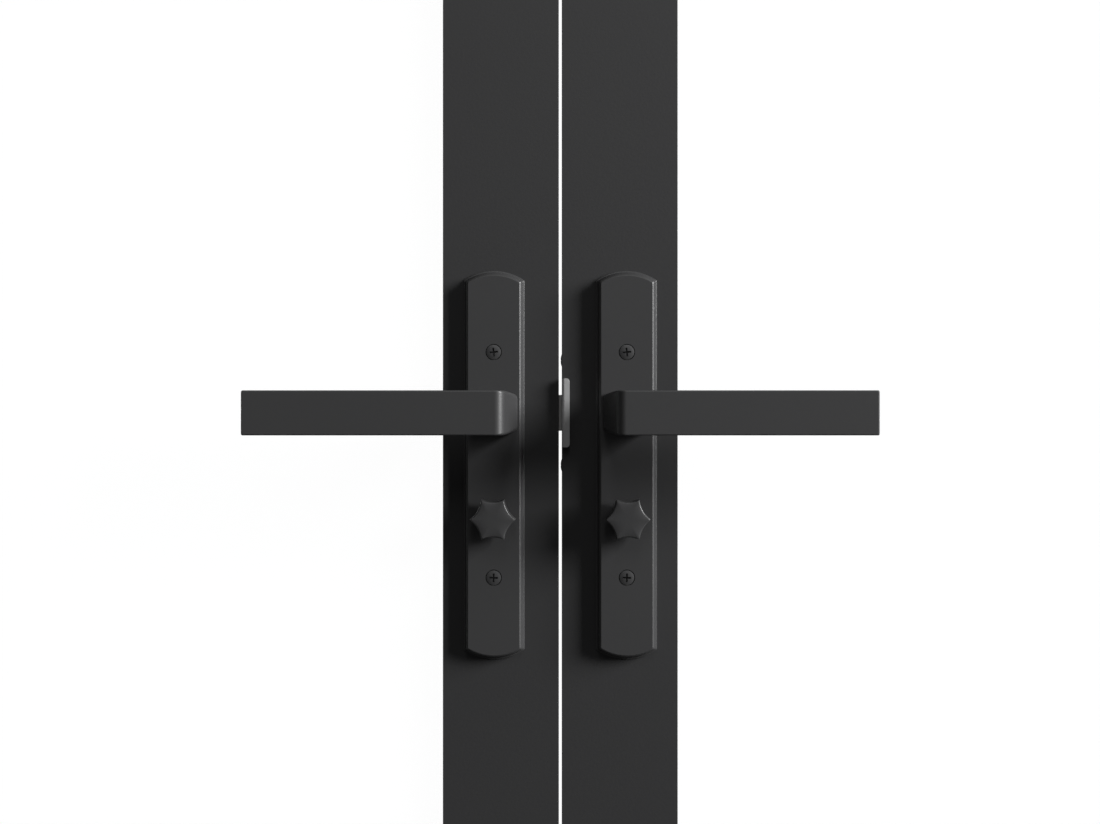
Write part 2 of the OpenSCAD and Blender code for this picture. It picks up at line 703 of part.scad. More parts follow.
// Keyed cylinder behind the back plate, in line with the star turn
module key_cylinder() color(zinc) leaf_side(-1) on_back() translate([0, -knob_drop, 0]) difference() {
    translate([0, 0, -(leaf_t - mid_y - case_t / 2)]) cylinder(r = cylinder_r, h = leaf_t - mid_y - case_t / 2 + plate_t + 1);
    translate([0, 0, plate_t + 1]) {
        translate([-0.8, -4.5, -12]) cube([1.6, 9, 13]);
        translate([0, 0, -0.6]) difference() {
            cylinder(r = 6.4, h = 1);
            translate([0, 0, -1]) cylinder(r = 5.9, h = 3);
        }
    }
}

// ---------------------------------------------------------------- levers, spindle and star turn

// Plan of a lever: p runs from the axis to the tip, v out from the plate
module lever_plan() {
    back = lever_stand - lever_t;
    rise = lever_stand - lever_lift;
    lean = atan2(neck_foot - root, rise);
    fillet_p = -root + root_fillet * (1 - sin(lean)) / cos(lean);
    fillet_v = lever_stand - root_fillet;
    inner = neck_foot - 3;
    difference() {
        union() {
            polygon([
                [-neck_foot, lever_lift],
                [fillet_p - root_fillet * cos(lean), fillet_v + root_fillet * sin(lean)],
                [fillet_p, fillet_v],
                [fillet_p, lever_stand],
                [lever_reach, lever_stand],
                [lever_reach, back],
                [inner + elbow_fillet, back],
                [inner, back - elbow_fillet],
                [neck_foot, lever_lift]
            ]);
            translate([fillet_p, fillet_v]) circle(r = root_fillet, $fn = 64);
        }
        translate([inner + elbow_fillet, back - elbow_fillet]) circle(r = elbow_fillet, $fn = 64);
    }
}

// Lever standing on a plate's face at z = 0, with its bar along +X
module lever() difference() {
    union() {
        intersection() {
            translate([0, lever_h / 2, 0]) rotate([90, 0, 0]) linear_extrude(lever_h) lever_plan();
            translate([-2 * neck_foot, 0, 0]) rotate([90, 0, 90]) linear_extrude(lever_reach + 3 * neck_foot)
                polygon([[-neck_foot_h / 2, 0], [neck_foot_h / 2, 0],
                         [lever_h / 2, lever_stand - lever_t], [lever_h / 2, lever_stand + 1],
                         [-lever_h / 2, lever_stand + 1], [-lever_h / 2, lever_stand - lever_t]]);
        }
        translate([0, 0, -plate_t + 0.5]) cylinder(r = journal_r, h = plate_t + lever_lift + 1);
    }
    s = spindle_s + 0.1;
    translate([-s / 2, -s / 2, -plate_t - 1]) cube([s, s, plate_t + 1 + socket_l]);
}

module front_lever(side) color(handle_coat) leaf_side(side) on_front() translate([0, 0, plate_t]) lever();

module back_lever(side) color(handle_coat) leaf_side(side) on_back() translate([0, 0, plate_t]) lever();

module spindle(side) {
    out = plate_t + socket_l - 1;
    color(steel) leaf_side(side)
        span([backset - spindle_s / 2, -out, lever_z - spindle_s / 2],
             [backset + spindle_s / 2, leaf_t + out, lever_z + spindle_s / 2]);
}

// Six-pointed outline with hollow sides
module star_outline(r) {
    flat = r * cos(30);
    hollow_r = 1.25 * r;
    hollow_in = 0.11 * r;
    difference() {
        circle(r = r, $fn = 6);
        for (k = [0 : 5]) rotate([0, 0, 30 + 60 * k])
            translate([flat - hollow_in + hollow_r, 0]) circle(r = hollow_r, $fn = 96);
    }
}

// Star turn on its collar, with a square socket for the crank's shaft
module star_turn(side) color(handle_coat) leaf_side(side) on_front()
    translate([0, -knob_drop, plate_t + lever_lift]) difference() {
        union() {
            cylinder(r = collar_r, h = collar_h + eps);
            translate([0, 0, collar_h]) linear_extrude(knob_h - collar_h - lever_lift) star_outline(knob_r);
        }
        s = turn_square + 0.1;
        translate([-s / 2, -s / 2, -1]) cube([s, s, knob_h - 4]);
    }

// Shaft of a star turn: square in the turn, round through the case, with a crank and its pin.
// The crank swings from `rest` degrees off upright, towards the hinge side if positive
module turn_crank(side, r, pin_r, rest) {
    y_arm = mid_y + 0.5;
    arm_t = 3;
    color(steel) leaf_side(side) translate([backset, 0, knob_z]) {
        span([-turn_square / 2, -plate_t - knob_h + 6, -turn_square / 2], [turn_square / 2, 1, turn_square / 2]);
        along_y(turn_shaft_r, 0, 0, 0.5, mid_y + case_t / 2 - case_wall - 0.3);
        rotate([0, rest, 0]) {
            along_y(pin_r, 0, r, rod_y, y_arm + arm_t);
            span([-2, y_arm, 0], [2, y_arm + arm_t, r]);
        }
    }
}

// ---------------------------------------------------------------- left lock

module forend_screws()
    for (z = [forend_z0 + forend_screw_in, forend_z0 + forend_h - forend_screw_in])
        translate([0, mid_y, z]) rotate([0, -90, 0]) children();

// Strip in the leaf's edge that the latch and deadbolt pass through
module forend() color(steel) leaf_side(-1) difference() {
    span([0, mid_y - forend_w / 2, forend_z0], [forend_t, mid_y + forend_w / 2, forend_z0 + forend_h]);
    bolt_openings(-1, forend_t + 1);
    forend_screws() csk_hole();
}

// Openings for the latch and the deadbolt, from u0 to u1
module bolt_openings(u0, u1) {
    span([u0, mid_y - latch_t / 2 - fit, lever_z - latch_h / 2 - fit], [u1, mid_y + latch_t / 2 + fit, lever_z + latch_h / 2 + fit]);
    span([u0, mid_y - deadbolt_t / 2 - fit, knob_z - deadbolt_h / 2 - fit],
         [u1, mid_y + deadbolt_t / 2 + fit, knob_z + deadbolt_h / 2 + fit]);
}

// Folded steel case behind the forend
module lock_case() color(zinc) leaf_side(-1) difference() {
    span([forend_t, mid_y - case_t / 2, lever_z - case_down], [case_u1, mid_y + case_t / 2, lever_z + case_up]);
    span([forend_t + case_wall, mid_y - case_t / 2 + case_wall, lever_z - case_down + case_wall],
         [case_u1 - case_wall, mid_y + case_t / 2 - case_wall, lever_z + case_up - case_wall]);
    along_y(hub_r + running, backset, lever_z, 0, leaf_t);
    along_y(turn_shaft_r + running, backset, knob_z, 0, mid_y);
    bolt_openings(0, forend_t + case_wall + 1);
}

// Hub that the spindle turns; its arm draws the latch back
module follower() color(steel) leaf_side(-1) difference() {
    union() {
        along_y(hub_r, backset, lever_z, mid_y - case_t / 2, mid_y + case_t / 2);
        translate([backset, 0, lever_z]) rotate([0, -latch_angle / 2, 0]) {
            along_y(arm_tip_r, 0, arm_r, mid_y - 4, mid_y + 0.5);
            span([-1.4, mid_y - 4, 0], [1.4, mid_y + 0.5, arm_r]);
        }
    }
    s = spindle_s + 0.1;
    span([backset - s / 2, 0, lever_z - s / 2], [backset + s / 2, leaf_t, lever_z + s / 2]);
}

// Latch: a nose bevelled on the closing side, a tail over the hub and a lug for the arm
module latch_bolt() {
    low = mid_y - latch_t / 2;
    high = mid_y + latch_t / 2;
    body_l = 12;
    nose_flat = 2.5;
    tail_top = lever_z + 21;
    color(steel) leaf_side(-1) {
        translate([0, 0, lever_z - latch_h / 2]) linear_extrude(latch_h)
            polygon([[-latch_out, low], [-latch_out, low + nose_flat], [-1, high], [body_l, high], [body_l, low]]);
        span([4, mid_y + 1, lever_z + hub_r + 1], [lug_u + lug_w, mid_y + 4, tail_top]);
        span([lug_u, mid_y - 4, lever_z + arm_r - arm_tip_r - 0.9], [lug_u + lug_w, mid_y + 6.6, tail_top]);
    }
}

// Deadbolt: a square nose and a tail notched for the crank's pin
module deadbolt() {
    pin_u = backset + crank_r * sin(turn_angle / 2);
    slot_w = crank_pin_r + crank_play;
    tail_z = knob_z + turn_shaft_r + 0.3;
    tail_top = knob_z + crank_r + 5;
    nose_l = 30;
    near = mid_y - deadbolt_t / 2;
    color(steel) leaf_side(-1) difference() {
        union() {
            span([0.2, near, knob_z - deadbolt_h / 2], [nose_l, mid_y + deadbolt_t / 2, knob_z + deadbolt_h / 2]);
            span([nose_l - 1, near, tail_z], [case_u1 - case_wall - 0.5, mid_y - 1, tail_top]);
        }
        span([pin_u - slot_w, 0, tail_z - 1], [pin_u + slot_w, mid_y, knob_z + crank_r + crank_pin_r + 0.6]);
    }
}

// Points of the return spring: a leg on the case's end, a turn round the hub, a leg on the latch's lug
function spring_path() =
    let (
        foot = [case_u1 - case_wall - spring_wire_r - 0.1 - backset, -10],
        tip = [lug_u + lug_w + spring_wire_r + 0.15 - backset, 17],
        from = atan2(foot[1], foot[0]) + acos(spring_r / norm(foot)),
        to = 360 + atan2(tip[1], tip[0]) - acos(spring_r / norm(tip)),
        steps = 24,
        y0 = mid_y + 4.7,
        lift = 1.5,
        coil = [for (k = [0 : steps])
            let (a = from + (to - from) * k / steps)
            [backset + spring_r * cos(a), y0 + lift * k / steps, lever_z + spring_r * sin(a)]]
    )
    concat(
        [[backset + foot[0], y0, lever_z + foot[1]]],
        coil,
        [[backset + tip[0], y0 + lift - 0.6, lever_z + tip[1]]]
    );

// Tube of radius r along a list of points, with 8 sides
function unit(v) = v / norm(v);
function ring(p, t, r) =
    let (a = unit(cross(t, abs(t[1]) < 0.9 ? [0, 1, 0] : [1, 0, 0])), b = cross(t, a))
    [for (k = [0 : 7]) p + r * (cos(45 * k) * a + sin(45 * k) * b)];

module tube(path, r) {
    n = len(path);
    tangents = [for (k = [0 : n - 1]) unit(path[min(k + 1, n - 1)] - path[max(k - 1, 0)])];
    points = [for (k = [0 : n - 1]) each ring(path[k], tangents[k], r)];
    sides = [for (k = [0 : n - 2], s = [0 : 7])
        each [[8 * k + s, 8 * k + (s + 1) % 8, 8 * (k + 1) + (s + 1) % 8],
              [8 * k + s, 8 * (k + 1) + (s + 1) % 8, 8 * (k + 1) + s]]];
    near = [for (s = [1 : 6]) [0, s + 1, s]];
    far = [for (s = [1 : 6]) [8 * (n - 1), 8 * (n - 1) + s, 8 * (n - 1) + s + 1]];
    polyhedron(points = points, faces = concat(sides, near, far));
}

module return_spring() color(steel) leaf_side(-1) tube(spring_path(), spring_wire_r);

// ---------------------------------------------------------------- right strike and shoot bolts

function top_rod_x() = meet_gap / 2 + top_rod_u;
function bottom_rod_x() = meet_gap / 2 + bottom_rod_u;

module strike_screws()
    for (side = [-1, 1]) translate([0, mid_y, lever_z + side * strike_screw_dz]) rotate([0, -90, 0]) children();

// Strike in the leaf's edge, with a lip that curls out over its face
module strike_plate() color(steel) leaf_side(1) difference() {
    union() {
        span([0, strike_y0, lever_z - strike_h / 2], [strike_t, strike_y1, lever_z + strike_h / 2]);
        translate([0, 0, lever_z - strike_lip_h / 2]) linear_extrude(strike_lip_h) {
            translate([0, -1]) square([strike_t, strike_y0 + 1 + eps]);
            translate([strike_curl, -1]) difference() {
                intersection() {
                    circle(r = strike_curl);
                    translate([-strike_curl, -strike_curl]) square(strike_curl + eps);
                }
                circle(r = strike_curl - strike_t);
            }
        }
    }
    span([-1, mid_y - latch_t / 2 - 1, lever_z - strike_hole_h / 2], [strike_t + 1, mid_y + latch_t / 2 + 1, lever_z + strike_hole_h / 2]);
    strike_screws() csk_hole();
}

// Folded channel that carries the shoot bolts' hub and hangs on the plates' posts
module gear_case() {
    y0 = mid_y - case_t / 2;
    y1 = mid_y + case_t / 2;
    ear_w = 7;
    color(zinc) leaf_side(1) difference() {
        union() {
            difference() {
                span([gear_u0, y0, lever_z - gear_down], [chamber_u - 0.4, y1, lever_z + gear_up]);
                span([gear_u0 + case_wall, y0 + case_wall, lever_z - gear_down - 1],
                     [chamber_u + 1, y1 - case_wall, lever_z + gear_up + 1]);
            }
            for (reach = [[gear_up - ear_w, bolt_up + ear_w], [-bolt_down - ear_w, -gear_down + 1]])
                span([backset - ear_w, y1 - case_wall, lever_z + reach[0]], [backset + ear_w, y1, lever_z + reach[1]]);
        }
        along_y(hub_r + running, backset, lever_z, 0, leaf_t);
        along_y(turn_shaft_r + running, backset, knob_z, 0, mid_y);
        for (z = bolt_zs) along_y(post_r + fit, backset, z, 0, leaf_t);
    }
}

// Hub with two opposite cranks: one pin lifts the upper rod as the other lowers the lower one
module shoot_hub() color(steel) leaf_side(1) difference() {
    arm_half = 2.2;
    arm_y0 = mid_y + 0.5;
    arm_y1 = arm_y0 + 3;
    union() {
        along_y(shoot_hub_waist, backset, lever_z, mid_y - case_t / 2, mid_y + case_t / 2);
        along_y(hub_r, backset, lever_z, mid_y - case_t / 2, mid_y - case_t / 2 + 3);
        along_y(hub_r, backset, lever_z, mid_y, mid_y + case_t / 2);
        translate([backset, 0, lever_z]) for (turn = [45, 225]) rotate([0, turn, 0]) {
            along_y(shoot_pin_r, 0, shoot_crank_r, rod_y, arm_y1);
            span([-arm_half, arm_y0, 0], [arm_half, arm_y1, shoot_crank_r]);
            along_y(arm_half, 0, shoot_crank_r, arm_y0, arm_y1);
        }
    }
    s = spindle_s + 0.1;
    span([backset - s / 2, 0, lever_z - s / 2], [backset + s / 2, leaf_t, lever_z + s / 2]);
}

// Flat rod with a forked foot round its crank pin and a round bolt at its end: the upper one for
// up = 1, on the meeting side of the spindle, and the lower one for up = -1, on the hinge side
module shoot_rod(up) {
    pin = shoot_crank_r * sin(45);
    fork = shoot_pin_r + shoot_play;
    fork_wall = 1.1;
    notch_play = 0.3;
    rod_u = up > 0 ? top_rod_u : bottom_rod_u;
    end_z = up > 0 ? leaf_z1 - rod_tip_back : leaf_z0 + rod_tip_back;
    foot_z = lever_z - up * (pin + fork + 3);
    far_z = end_z - up * (rod_tip_l - 10);
    tip_z = min(end_z, end_z - up * rod_tip_l);
    color(steel) leaf_side(1) difference() {
        union() {
            span([rod_u - rod_w / 2, rod_y, min(foot_z, far_z)], [rod_u + rod_w / 2, rod_y + rod_t, max(foot_z, far_z)]);
            translate([rod_u, rod_y + rod_t / 2, tip_z]) cylinder(r = rod_tip_r, h = rod_tip_l);
        }
        // the fork, open towards the spindle
        span([up > 0 ? rod_u - rod_w / 2 + fork_wall : rod_u - rod_w, rod_y - 1, lever_z - up * pin - fork],
             [up > 0 ? rod_u + rod_w : rod_u + rod_w / 2 - fork_wall, rod_y + rod_t + 1, lever_z - up * pin + fork]);
        // two notches for the lock slide, for the withdrawn and the thrown bolt
        if (up < 0) for (dz = [0, shoot_travel])
            span([rod_u - rod_w, rod_y - 1, slide_z0 + dz - notch_play],
                 [rod_u - rod_w / 2 + slide_entry + 0.4, rod_y + rod_t + 1, slide_z0 + dz + slide_h + notch_play]);
    }
}

// Slide that the right star turn pushes into the lower rod's notches
module lock_slide() {
    tip = bottom_rod_u - rod_w / 2 + slide_entry - slide_travel;
    pin_u = backset - slide_crank_r * sin(45);
    pin_top = knob_z + slide_crank_r + shoot_pin_r;
    color(steel) leaf_side(1) difference() {
        span([gear_u0 + case_wall + 0.3, rod_y, slide_z0], [tip, rod_y + rod_t, slide_z0 + slide_h]);
        span([pin_u - shoot_pin_r - shoot_play, 0, slide_z0 - 1],
             [pin_u + shoot_pin_r + shoot_play, leaf_t, pin_top + shoot_play]);
    }
}

// ---------------------------------------------------------------- screws of the leaves

module left_screws() color(steel) leaf_side(-1) {
    for (z = hinge_zs) hinge_screws(z, -1) csk_screw();
    forend_screws() csk_screw();
}

module right_screws() color(steel) leaf_side(1) {
    for (z = hinge_zs) hinge_screws(z, -1) csk_screw();
    strike_screws() csk_screw(lift = strike_head_lift);
}

placed() frame_head();
placed() frame_sill();
placed() frame_jamb(-1);  // frame_jamb_left
placed() frame_jamb(1);  // frame_jamb_right
placed() frame_seals();
placed() frame_hinge_leaves();
placed() hinge_pins();
placed() frame_screws();
placed() shoot_bolt_keeps();
placed() hinge_stile(-1);  // left_hinge_stile
placed() left_meeting_stile();
placed() top_rail(-1);  // left_top_rail
placed() bottom_rail(-1);  // left_bottom_rail
placed() corner_blocks(-1);  // left_corner_blocks
placed() end_caps(-1);  // left_end_caps
placed() glass_pane(-1);  // left_glass
placed() glazing_beads(-1);  // left_glazing_beads
placed() glazing_rubbers(-1);  // left_glazing_rubbers
placed() door_hinge_leaves(-1);  // left_hinge_leaves
placed() left_screws();
placed() front_plate(-1);  // left_front_plate
placed() back_plate(-1);  // left_back_plate
placed() plate_bolts(-1);  // left_plate_bolts
placed() lock_case();  // left_lock_case
placed() forend();  // left_forend
placed() key_cylinder();  // left_key_cylinder
placed() return_spring();  // left_return_spring
placed() front_lever(-1);  // left_front_lever
placed() back_lever(-1);  // left_back_lever
placed() spindle(-1);  // left_spindle
placed() follower();  // left_follower
placed() star_turn(-1);  // left_star_turn
placed() turn_crank(-1, crank_r, crank_pin_r, 45);  // left_turn_crank
placed() latch_bolt();  // left_latch_bolt
placed() deadbolt();  // left_deadbolt
placed() hinge_stile(1);  // right_hinge_stile
placed() right_meeting_stile();
placed() top_rail(1);  // right_top_rail
placed() bottom_rail(1);  // right_bottom_rail
placed() corner_blocks(1);  // right_corner_blocks
placed() end_caps(1);  // right_end_caps
placed() glass_pane(1);  // right_glass
placed() glazing_beads(1);  // right_glazing_beads
placed() glazing_rubbers(1);  // right_glazing_rubbers
placed() door_hinge_leaves(1);  // right_hinge_leaves
placed() right_screws();
placed() front_plate(1);  // right_front_plate
placed() back_plate(1);  // right_back_plate
placed() plate_bolts(1);  // right_plate_bolts
placed() gear_case();  // right_gear_case
placed() strike_plate();  // right_strike_plate
placed() front_lever(1);  // right_front_lever
placed() back_lever(1);  // right_back_lever
placed() spindle(1);  // right_spindle
placed() shoot_hub();  // right_shoot_hub
placed() star_turn(1);  // right_star_turn
placed() turn_crank(1, slide_crank_r, shoot_pin_r, -45);  // right_turn_crank
placed() shoot_rod(1);  // right_top_rod
placed() shoot_rod(-1);  // right_bottom_rod
placed() lock_slide();  // right_lock_slide
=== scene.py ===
"""Pair of glazed aluminium french doors in their frame, with long handle plates, levers and star turns.

The sections follow the doors as they are put together: the frame, its seals, the leaves, their
glazing, the hinges, the handle plates and their screws, the levers, the star turns and the locks.
"""

import json
import math

import bmesh
import bpy
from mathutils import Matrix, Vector

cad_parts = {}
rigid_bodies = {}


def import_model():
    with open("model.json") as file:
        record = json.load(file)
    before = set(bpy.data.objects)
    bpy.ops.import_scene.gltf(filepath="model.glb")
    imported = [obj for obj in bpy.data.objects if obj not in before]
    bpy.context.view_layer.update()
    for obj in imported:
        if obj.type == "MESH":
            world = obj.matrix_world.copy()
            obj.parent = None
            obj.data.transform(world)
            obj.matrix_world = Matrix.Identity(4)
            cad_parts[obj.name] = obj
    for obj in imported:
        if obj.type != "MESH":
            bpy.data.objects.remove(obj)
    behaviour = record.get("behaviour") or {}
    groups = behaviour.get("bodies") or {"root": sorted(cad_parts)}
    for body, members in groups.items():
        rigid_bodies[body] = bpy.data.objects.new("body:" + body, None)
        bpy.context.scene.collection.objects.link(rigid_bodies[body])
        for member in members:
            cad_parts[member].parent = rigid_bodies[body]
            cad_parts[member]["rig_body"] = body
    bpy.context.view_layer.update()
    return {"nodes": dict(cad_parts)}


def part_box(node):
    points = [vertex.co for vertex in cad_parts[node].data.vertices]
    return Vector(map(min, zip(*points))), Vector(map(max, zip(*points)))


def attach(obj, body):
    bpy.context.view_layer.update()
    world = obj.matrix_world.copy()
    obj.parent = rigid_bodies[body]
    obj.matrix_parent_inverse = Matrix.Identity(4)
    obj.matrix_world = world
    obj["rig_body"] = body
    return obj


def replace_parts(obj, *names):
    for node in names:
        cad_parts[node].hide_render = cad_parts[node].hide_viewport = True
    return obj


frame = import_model()
nodes = frame["nodes"]


# ---------------------------------------------------------------- camera
# Straight on to the middle of the doors, level with the levers, close enough that the two
# meeting stiles fill the height of the view.

STAND_OFF = 1.0  # from the front of the leaves
EYE_HEIGHT = 1.0005
VIEW_WIDTH = 0.6642  # seen at that distance
GAP_OFFSET = 10.3 / 1100  # of the middle of the doors from the middle of the view

leaf_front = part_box("left_meeting_stile")[0].y
leaf_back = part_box("left_meeting_stile")[1].y

camera = bpy.data.cameras.new("camera")
camera.sensor_width = 36.0
camera.lens = 36.0 * STAND_OFF / VIEW_WIDTH
camera.shift_x = -GAP_OFFSET
camera.clip_start = 0.01
camera.clip_end = 40.0
camera_stand = bpy.data.objects.new("camera", camera)
camera_stand.location = (0.0, leaf_front - STAND_OFF, EYE_HEIGHT)
camera_stand.rotation_euler = (math.radians(90), 0.0, 0.0)
bpy.context.scene.collection.objects.link(camera_stand)
bpy.context.scene.camera = camera_stand


# ---------------------------------------------------------------- studio
# White all round, with one soft window low and far to the right, a faint strip from above, a
# window behind the doors, and a plain pale floor.

BACKDROP = 1.03
ROOM_LIGHT = 0.068
FLOOR_Y = (-4.0, 2.6)
FLOOR_X = 3.6

bpy.context.scene.view_settings.view_transform = "Standard"

world = bpy.data.worlds.new("studio")
bpy.context.scene.world = world
world.use_nodes = True
air = world.node_tree
air.nodes.clear()
seen = air.nodes.new("ShaderNodeBackground")
seen.inputs["Color"].default_value = (1.0, 1.0, 1.0, 1.0)
seen.inputs["Strength"].default_value = BACKDROP
felt = air.nodes.new("ShaderNodeBackground")
felt.inputs["Color"].default_value = (1.0, 1.0, 1.0, 1.0)
felt.inputs["Strength"].default_value = ROOM_LIGHT
rays = air.nodes.new("ShaderNodeLightPath")
either = air.nodes.new("ShaderNodeMixShader")
outside = air.nodes.new("ShaderNodeOutputWorld")
air.links.new(rays.outputs["Is Camera Ray"], either.inputs["Fac"])
air.links.new(felt.outputs[0], either.inputs[1])
air.links.new(seen.outputs[0], either.inputs[2])
air.links.new(either.outputs[0], outside.inputs["Surface"])


def soft_window(name, place, aim, size, watts):
    lamp = bpy.data.lights.new(name, "AREA")
    lamp.shape = "RECTANGLE"
    lamp.size, lamp.size_y = size
    lamp.energy = watts
    stand = bpy.data.objects.new(name, lamp)
    stand.location = place
    stand.rotation_euler = (Vector(aim) - Vector(place)).to_track_quat("-Z", "Y").to_euler()
    stand.visible_camera = False
    bpy.context.scene.collection.objects.link(stand)


soft_window("right_window", (5.3, -2.18, 3.03), (0.0, 0.0, 1.0), (2.7, 2.85), 745.0)
soft_window("top_strip", (0.0, -2.3, 2.9), (0.0, 0.0, 1.0), (0.35, 1.3), 8.0)
soft_window("back_window", (-1.9, 2.7, 1.7), (0.0, 0.0, 1.0), (1.4, 1.4), 120.0)


class Signal:
    """A number, colour or vector on its way through a finish's nodes, for plain arithmetic."""

    def __init__(self, finish, socket):
        self.finish, self.socket = finish, socket

    def sum(self, operation, *values):
        return self.finish.node("Math", {"operation": operation}, dict(enumerate(values)))

    def __add__(self, other):
        return self.sum("ADD", self, other)

    def __mul__(self, other):
        return self.sum("MULTIPLY", self, other)

    __radd__ = __add__
    __rmul__ = __mul__


class Finish:
    """A material: its Principled shader's plain sockets are set first, and node() adds the rest."""

    def __init__(self, name, **plain):
        self.material = bpy.data.materials.new(name)
        self.material.use_nodes = True
        self.tree = self.material.node_tree
        self.shader = self.tree.nodes["Principled BSDF"]
        for socket, value in plain.items():
            self.shader.inputs[socket.replace("_", " ")].default_value = value
        self.point = self.node("TexCoord", out="Object")

    def node(self, kind, settings=None, sockets=None, out=0):
        made = self.tree.nodes.new("ShaderNode" + kind)
        for key, value in (settings or {}).items():
            setattr(made, key, value)
        for key, value in (sockets or {}).items():
            if isinstance(value, Signal):
                self.tree.links.new(value.socket, made.inputs[key])
            else:
                made.inputs[key].default_value = value
        return Signal(self, made.outputs[out])

    def noise(self, scale, detail=2.0, point=None):
        sockets = {"Vector": point or self.point, "Scale": scale, "Detail": detail}
        return self.node("TexNoise", {}, sockets, out="Fac")

    def blend(self, share, dark, light):
        sockets = {0: share, 6: (*dark, 1.0), 7: (*light, 1.0)}
        return self.node("Mix", {"data_type": "RGBA"}, sockets, out=2)

    def feed(self, **inputs):
        for socket, signal in inputs.items():
            self.tree.links.new(signal.socket, self.shader.inputs[socket.replace("_", " ")])

    def relief(self, height, depth, strength=1.0):
        self.feed(Normal=self.node("Bump", {}, {"Strength": strength, "Distance": depth, "Height": height}))


floor_paint = Finish("floor_paint", Roughness=0.8)
floor_paint.feed(Base_Color=floor_paint.blend(floor_paint.noise(3.0), (0.78, 0.78, 0.78), (0.82, 0.82, 0.82)))
floor_mesh = bpy.data.meshes.new("floor")
floor_near, floor_far = FLOOR_Y
floor_corners = [(-FLOOR_X, floor_near), (FLOOR_X, floor_near), (FLOOR_X, floor_far), (-FLOOR_X, floor_far)]
floor_mesh.from_pydata([(px, py, 0.0) for px, py in floor_corners], [], [(0, 1, 2, 3)])
floor_mesh.materials.append(floor_paint.material)
floor = bpy.data.objects.new("floor", floor_mesh)
bpy.context.scene.collection.objects.link(floor)
floor.visible_diffuse = False  # it shows, but throws no light up at the doors
floor.visible_glossy = False


# ---------------------------------------------------------------- frame profiles
# Jambs, head and sill are hollow aluminium extrusions, mitred at the upper corners and powder
# coated dark grey. Their long edges keep the small radius that the die leaves.

DIE_RADIUS = 0.0002
LONG_EDGE = 0.009  # shorter edges belong to holes and cut-outs, which stay sharp
SAME_POINT = 0.000004
FLAT = math.radians(0.6)
FOLD = math.radians(40)

powder_coat = Finish("powder_coat", Specular_IOR_Level=0.42)
peel = powder_coat.noise(620.0)
grit = powder_coat.noise(3600.0, 1.0)
cloud = powder_coat.noise(5.0, 3.0)
powder_coat.feed(
    Base_Color=powder_coat.blend(0.5 * grit + 0.5 * cloud, (0.0265, 0.0265, 0.0274), (0.0335, 0.0335, 0.0345)),
    Roughness=0.43 + 0.1 * peel + 0.06 * grit,
)
powder_coat.relief(peel + 0.35 * grit, 0.00006, 0.5)


def shade(mesh, sharp):
    """Smooth shading, with hard edges where faces meet at more than sharp degrees."""
    mesh.polygons.foreach_set("use_smooth", [True] * len(mesh.polygons))
    mesh.set_sharp_from_angle(angle=math.radians(sharp))


def finished(name, form, finish, body, sharp=35.0):
    """Makes a mesh of the form with its finish, and lets it ride on its body."""
    mesh = bpy.data.meshes.new(name)
    form.to_mesh(mesh)
    form.free()
    mesh.materials.append(finish.material)
    shade(mesh, sharp)
    made = bpy.data.objects.new(name, mesh)
    bpy.context.scene.collection.objects.link(made)
    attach(made, body)
    return made


def even_shade(made):
    """Lets the wide faces set the shading, so that they stay flat between their rounded edges."""
    weighted = made.modifiers.new("even_shade", "WEIGHTED_NORMAL")
    weighted.mode = "FACE_AREA"
    weighted.weight = 80
    weighted.keep_sharp = True


def dressed(name, finish, radius=DIE_RADIUS, edge=LONG_EDGE, segments=2):
    """Stands for a CAD node: the same shape in whole faces, with its long edges rounded."""
    form = bmesh.new()
    form.from_mesh(nodes[name].data)
    bmesh.ops.remove_doubles(form, verts=form.verts, dist=SAME_POINT)
    bmesh.ops.dissolve_limit(form, angle_limit=FLAT, verts=form.verts, edges=form.edges)
    weight = form.edges.layers.float.new("bevel_weight_edge")
    for e in form.edges:
        e[weight] = 1.0 if e.calc_face_angle(0.0) > FOLD and e.calc_length() > edge else 0.0
    made = finished(name + "_dressed", form, finish, nodes[name]["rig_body"])
    bevel = made.modifiers.new("edge", "BEVEL")
    bevel.width = radius
    bevel.segments = segments
    bevel.limit_method = "WEIGHT"
    bevel.use_clamp_overlap = False
    even_shade(made)
    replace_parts(made, name)
    return made


for name in ("frame_head", "frame_jamb_left", "frame_jamb_right", "frame_sill"):
    dressed(name, powder_coat)


# ---------------------------------------------------------------- frame seals
# Soft black rubber strips on the front of the stops, extruded with two round lobes that the
# closed leaves press on.

rubber = Finish("rubber", Specular_IOR_Level=0.3)
bloom = rubber.noise(240.0)
rubber.feed(
    Base_Color=rubber.blend(bloom, (0.012, 0.012, 0.012), (0.022, 0.022, 0.022)),
    Roughness=0.62 + 0.16 * bloom,
)
rubber.relief(rubber.noise(2600.0), 0.00004, 0.4)


def skin(rings, form=None, ends=True):
    """Skins a stack of rings that have the same number of points, and closes its ends."""
    form = form or bmesh.new()
    loops = [[form.verts.new(point) for point in ring] for ring in rings]
    faces = []
    for low, high in zip(loops, loops[1:]):
        for k in range(len(low)):
            faces.append(form.faces.new((low[k - 1], low[k], high[k], high[k - 1])))
    if ends:
        faces += [form.faces.new(loops[0]), form.faces.new(loops[-1])]
    bmesh.ops.recalc_face_normals(form, faces=faces)
    return form


SEAL_W = 0.010
SEAL_MITRE = 0.012  # the strips stop short of each other in the corners
SILL_LIFT = 0.002
LOBE_FOOT = 0.35  # share of the strip's thickness that carries the lobes


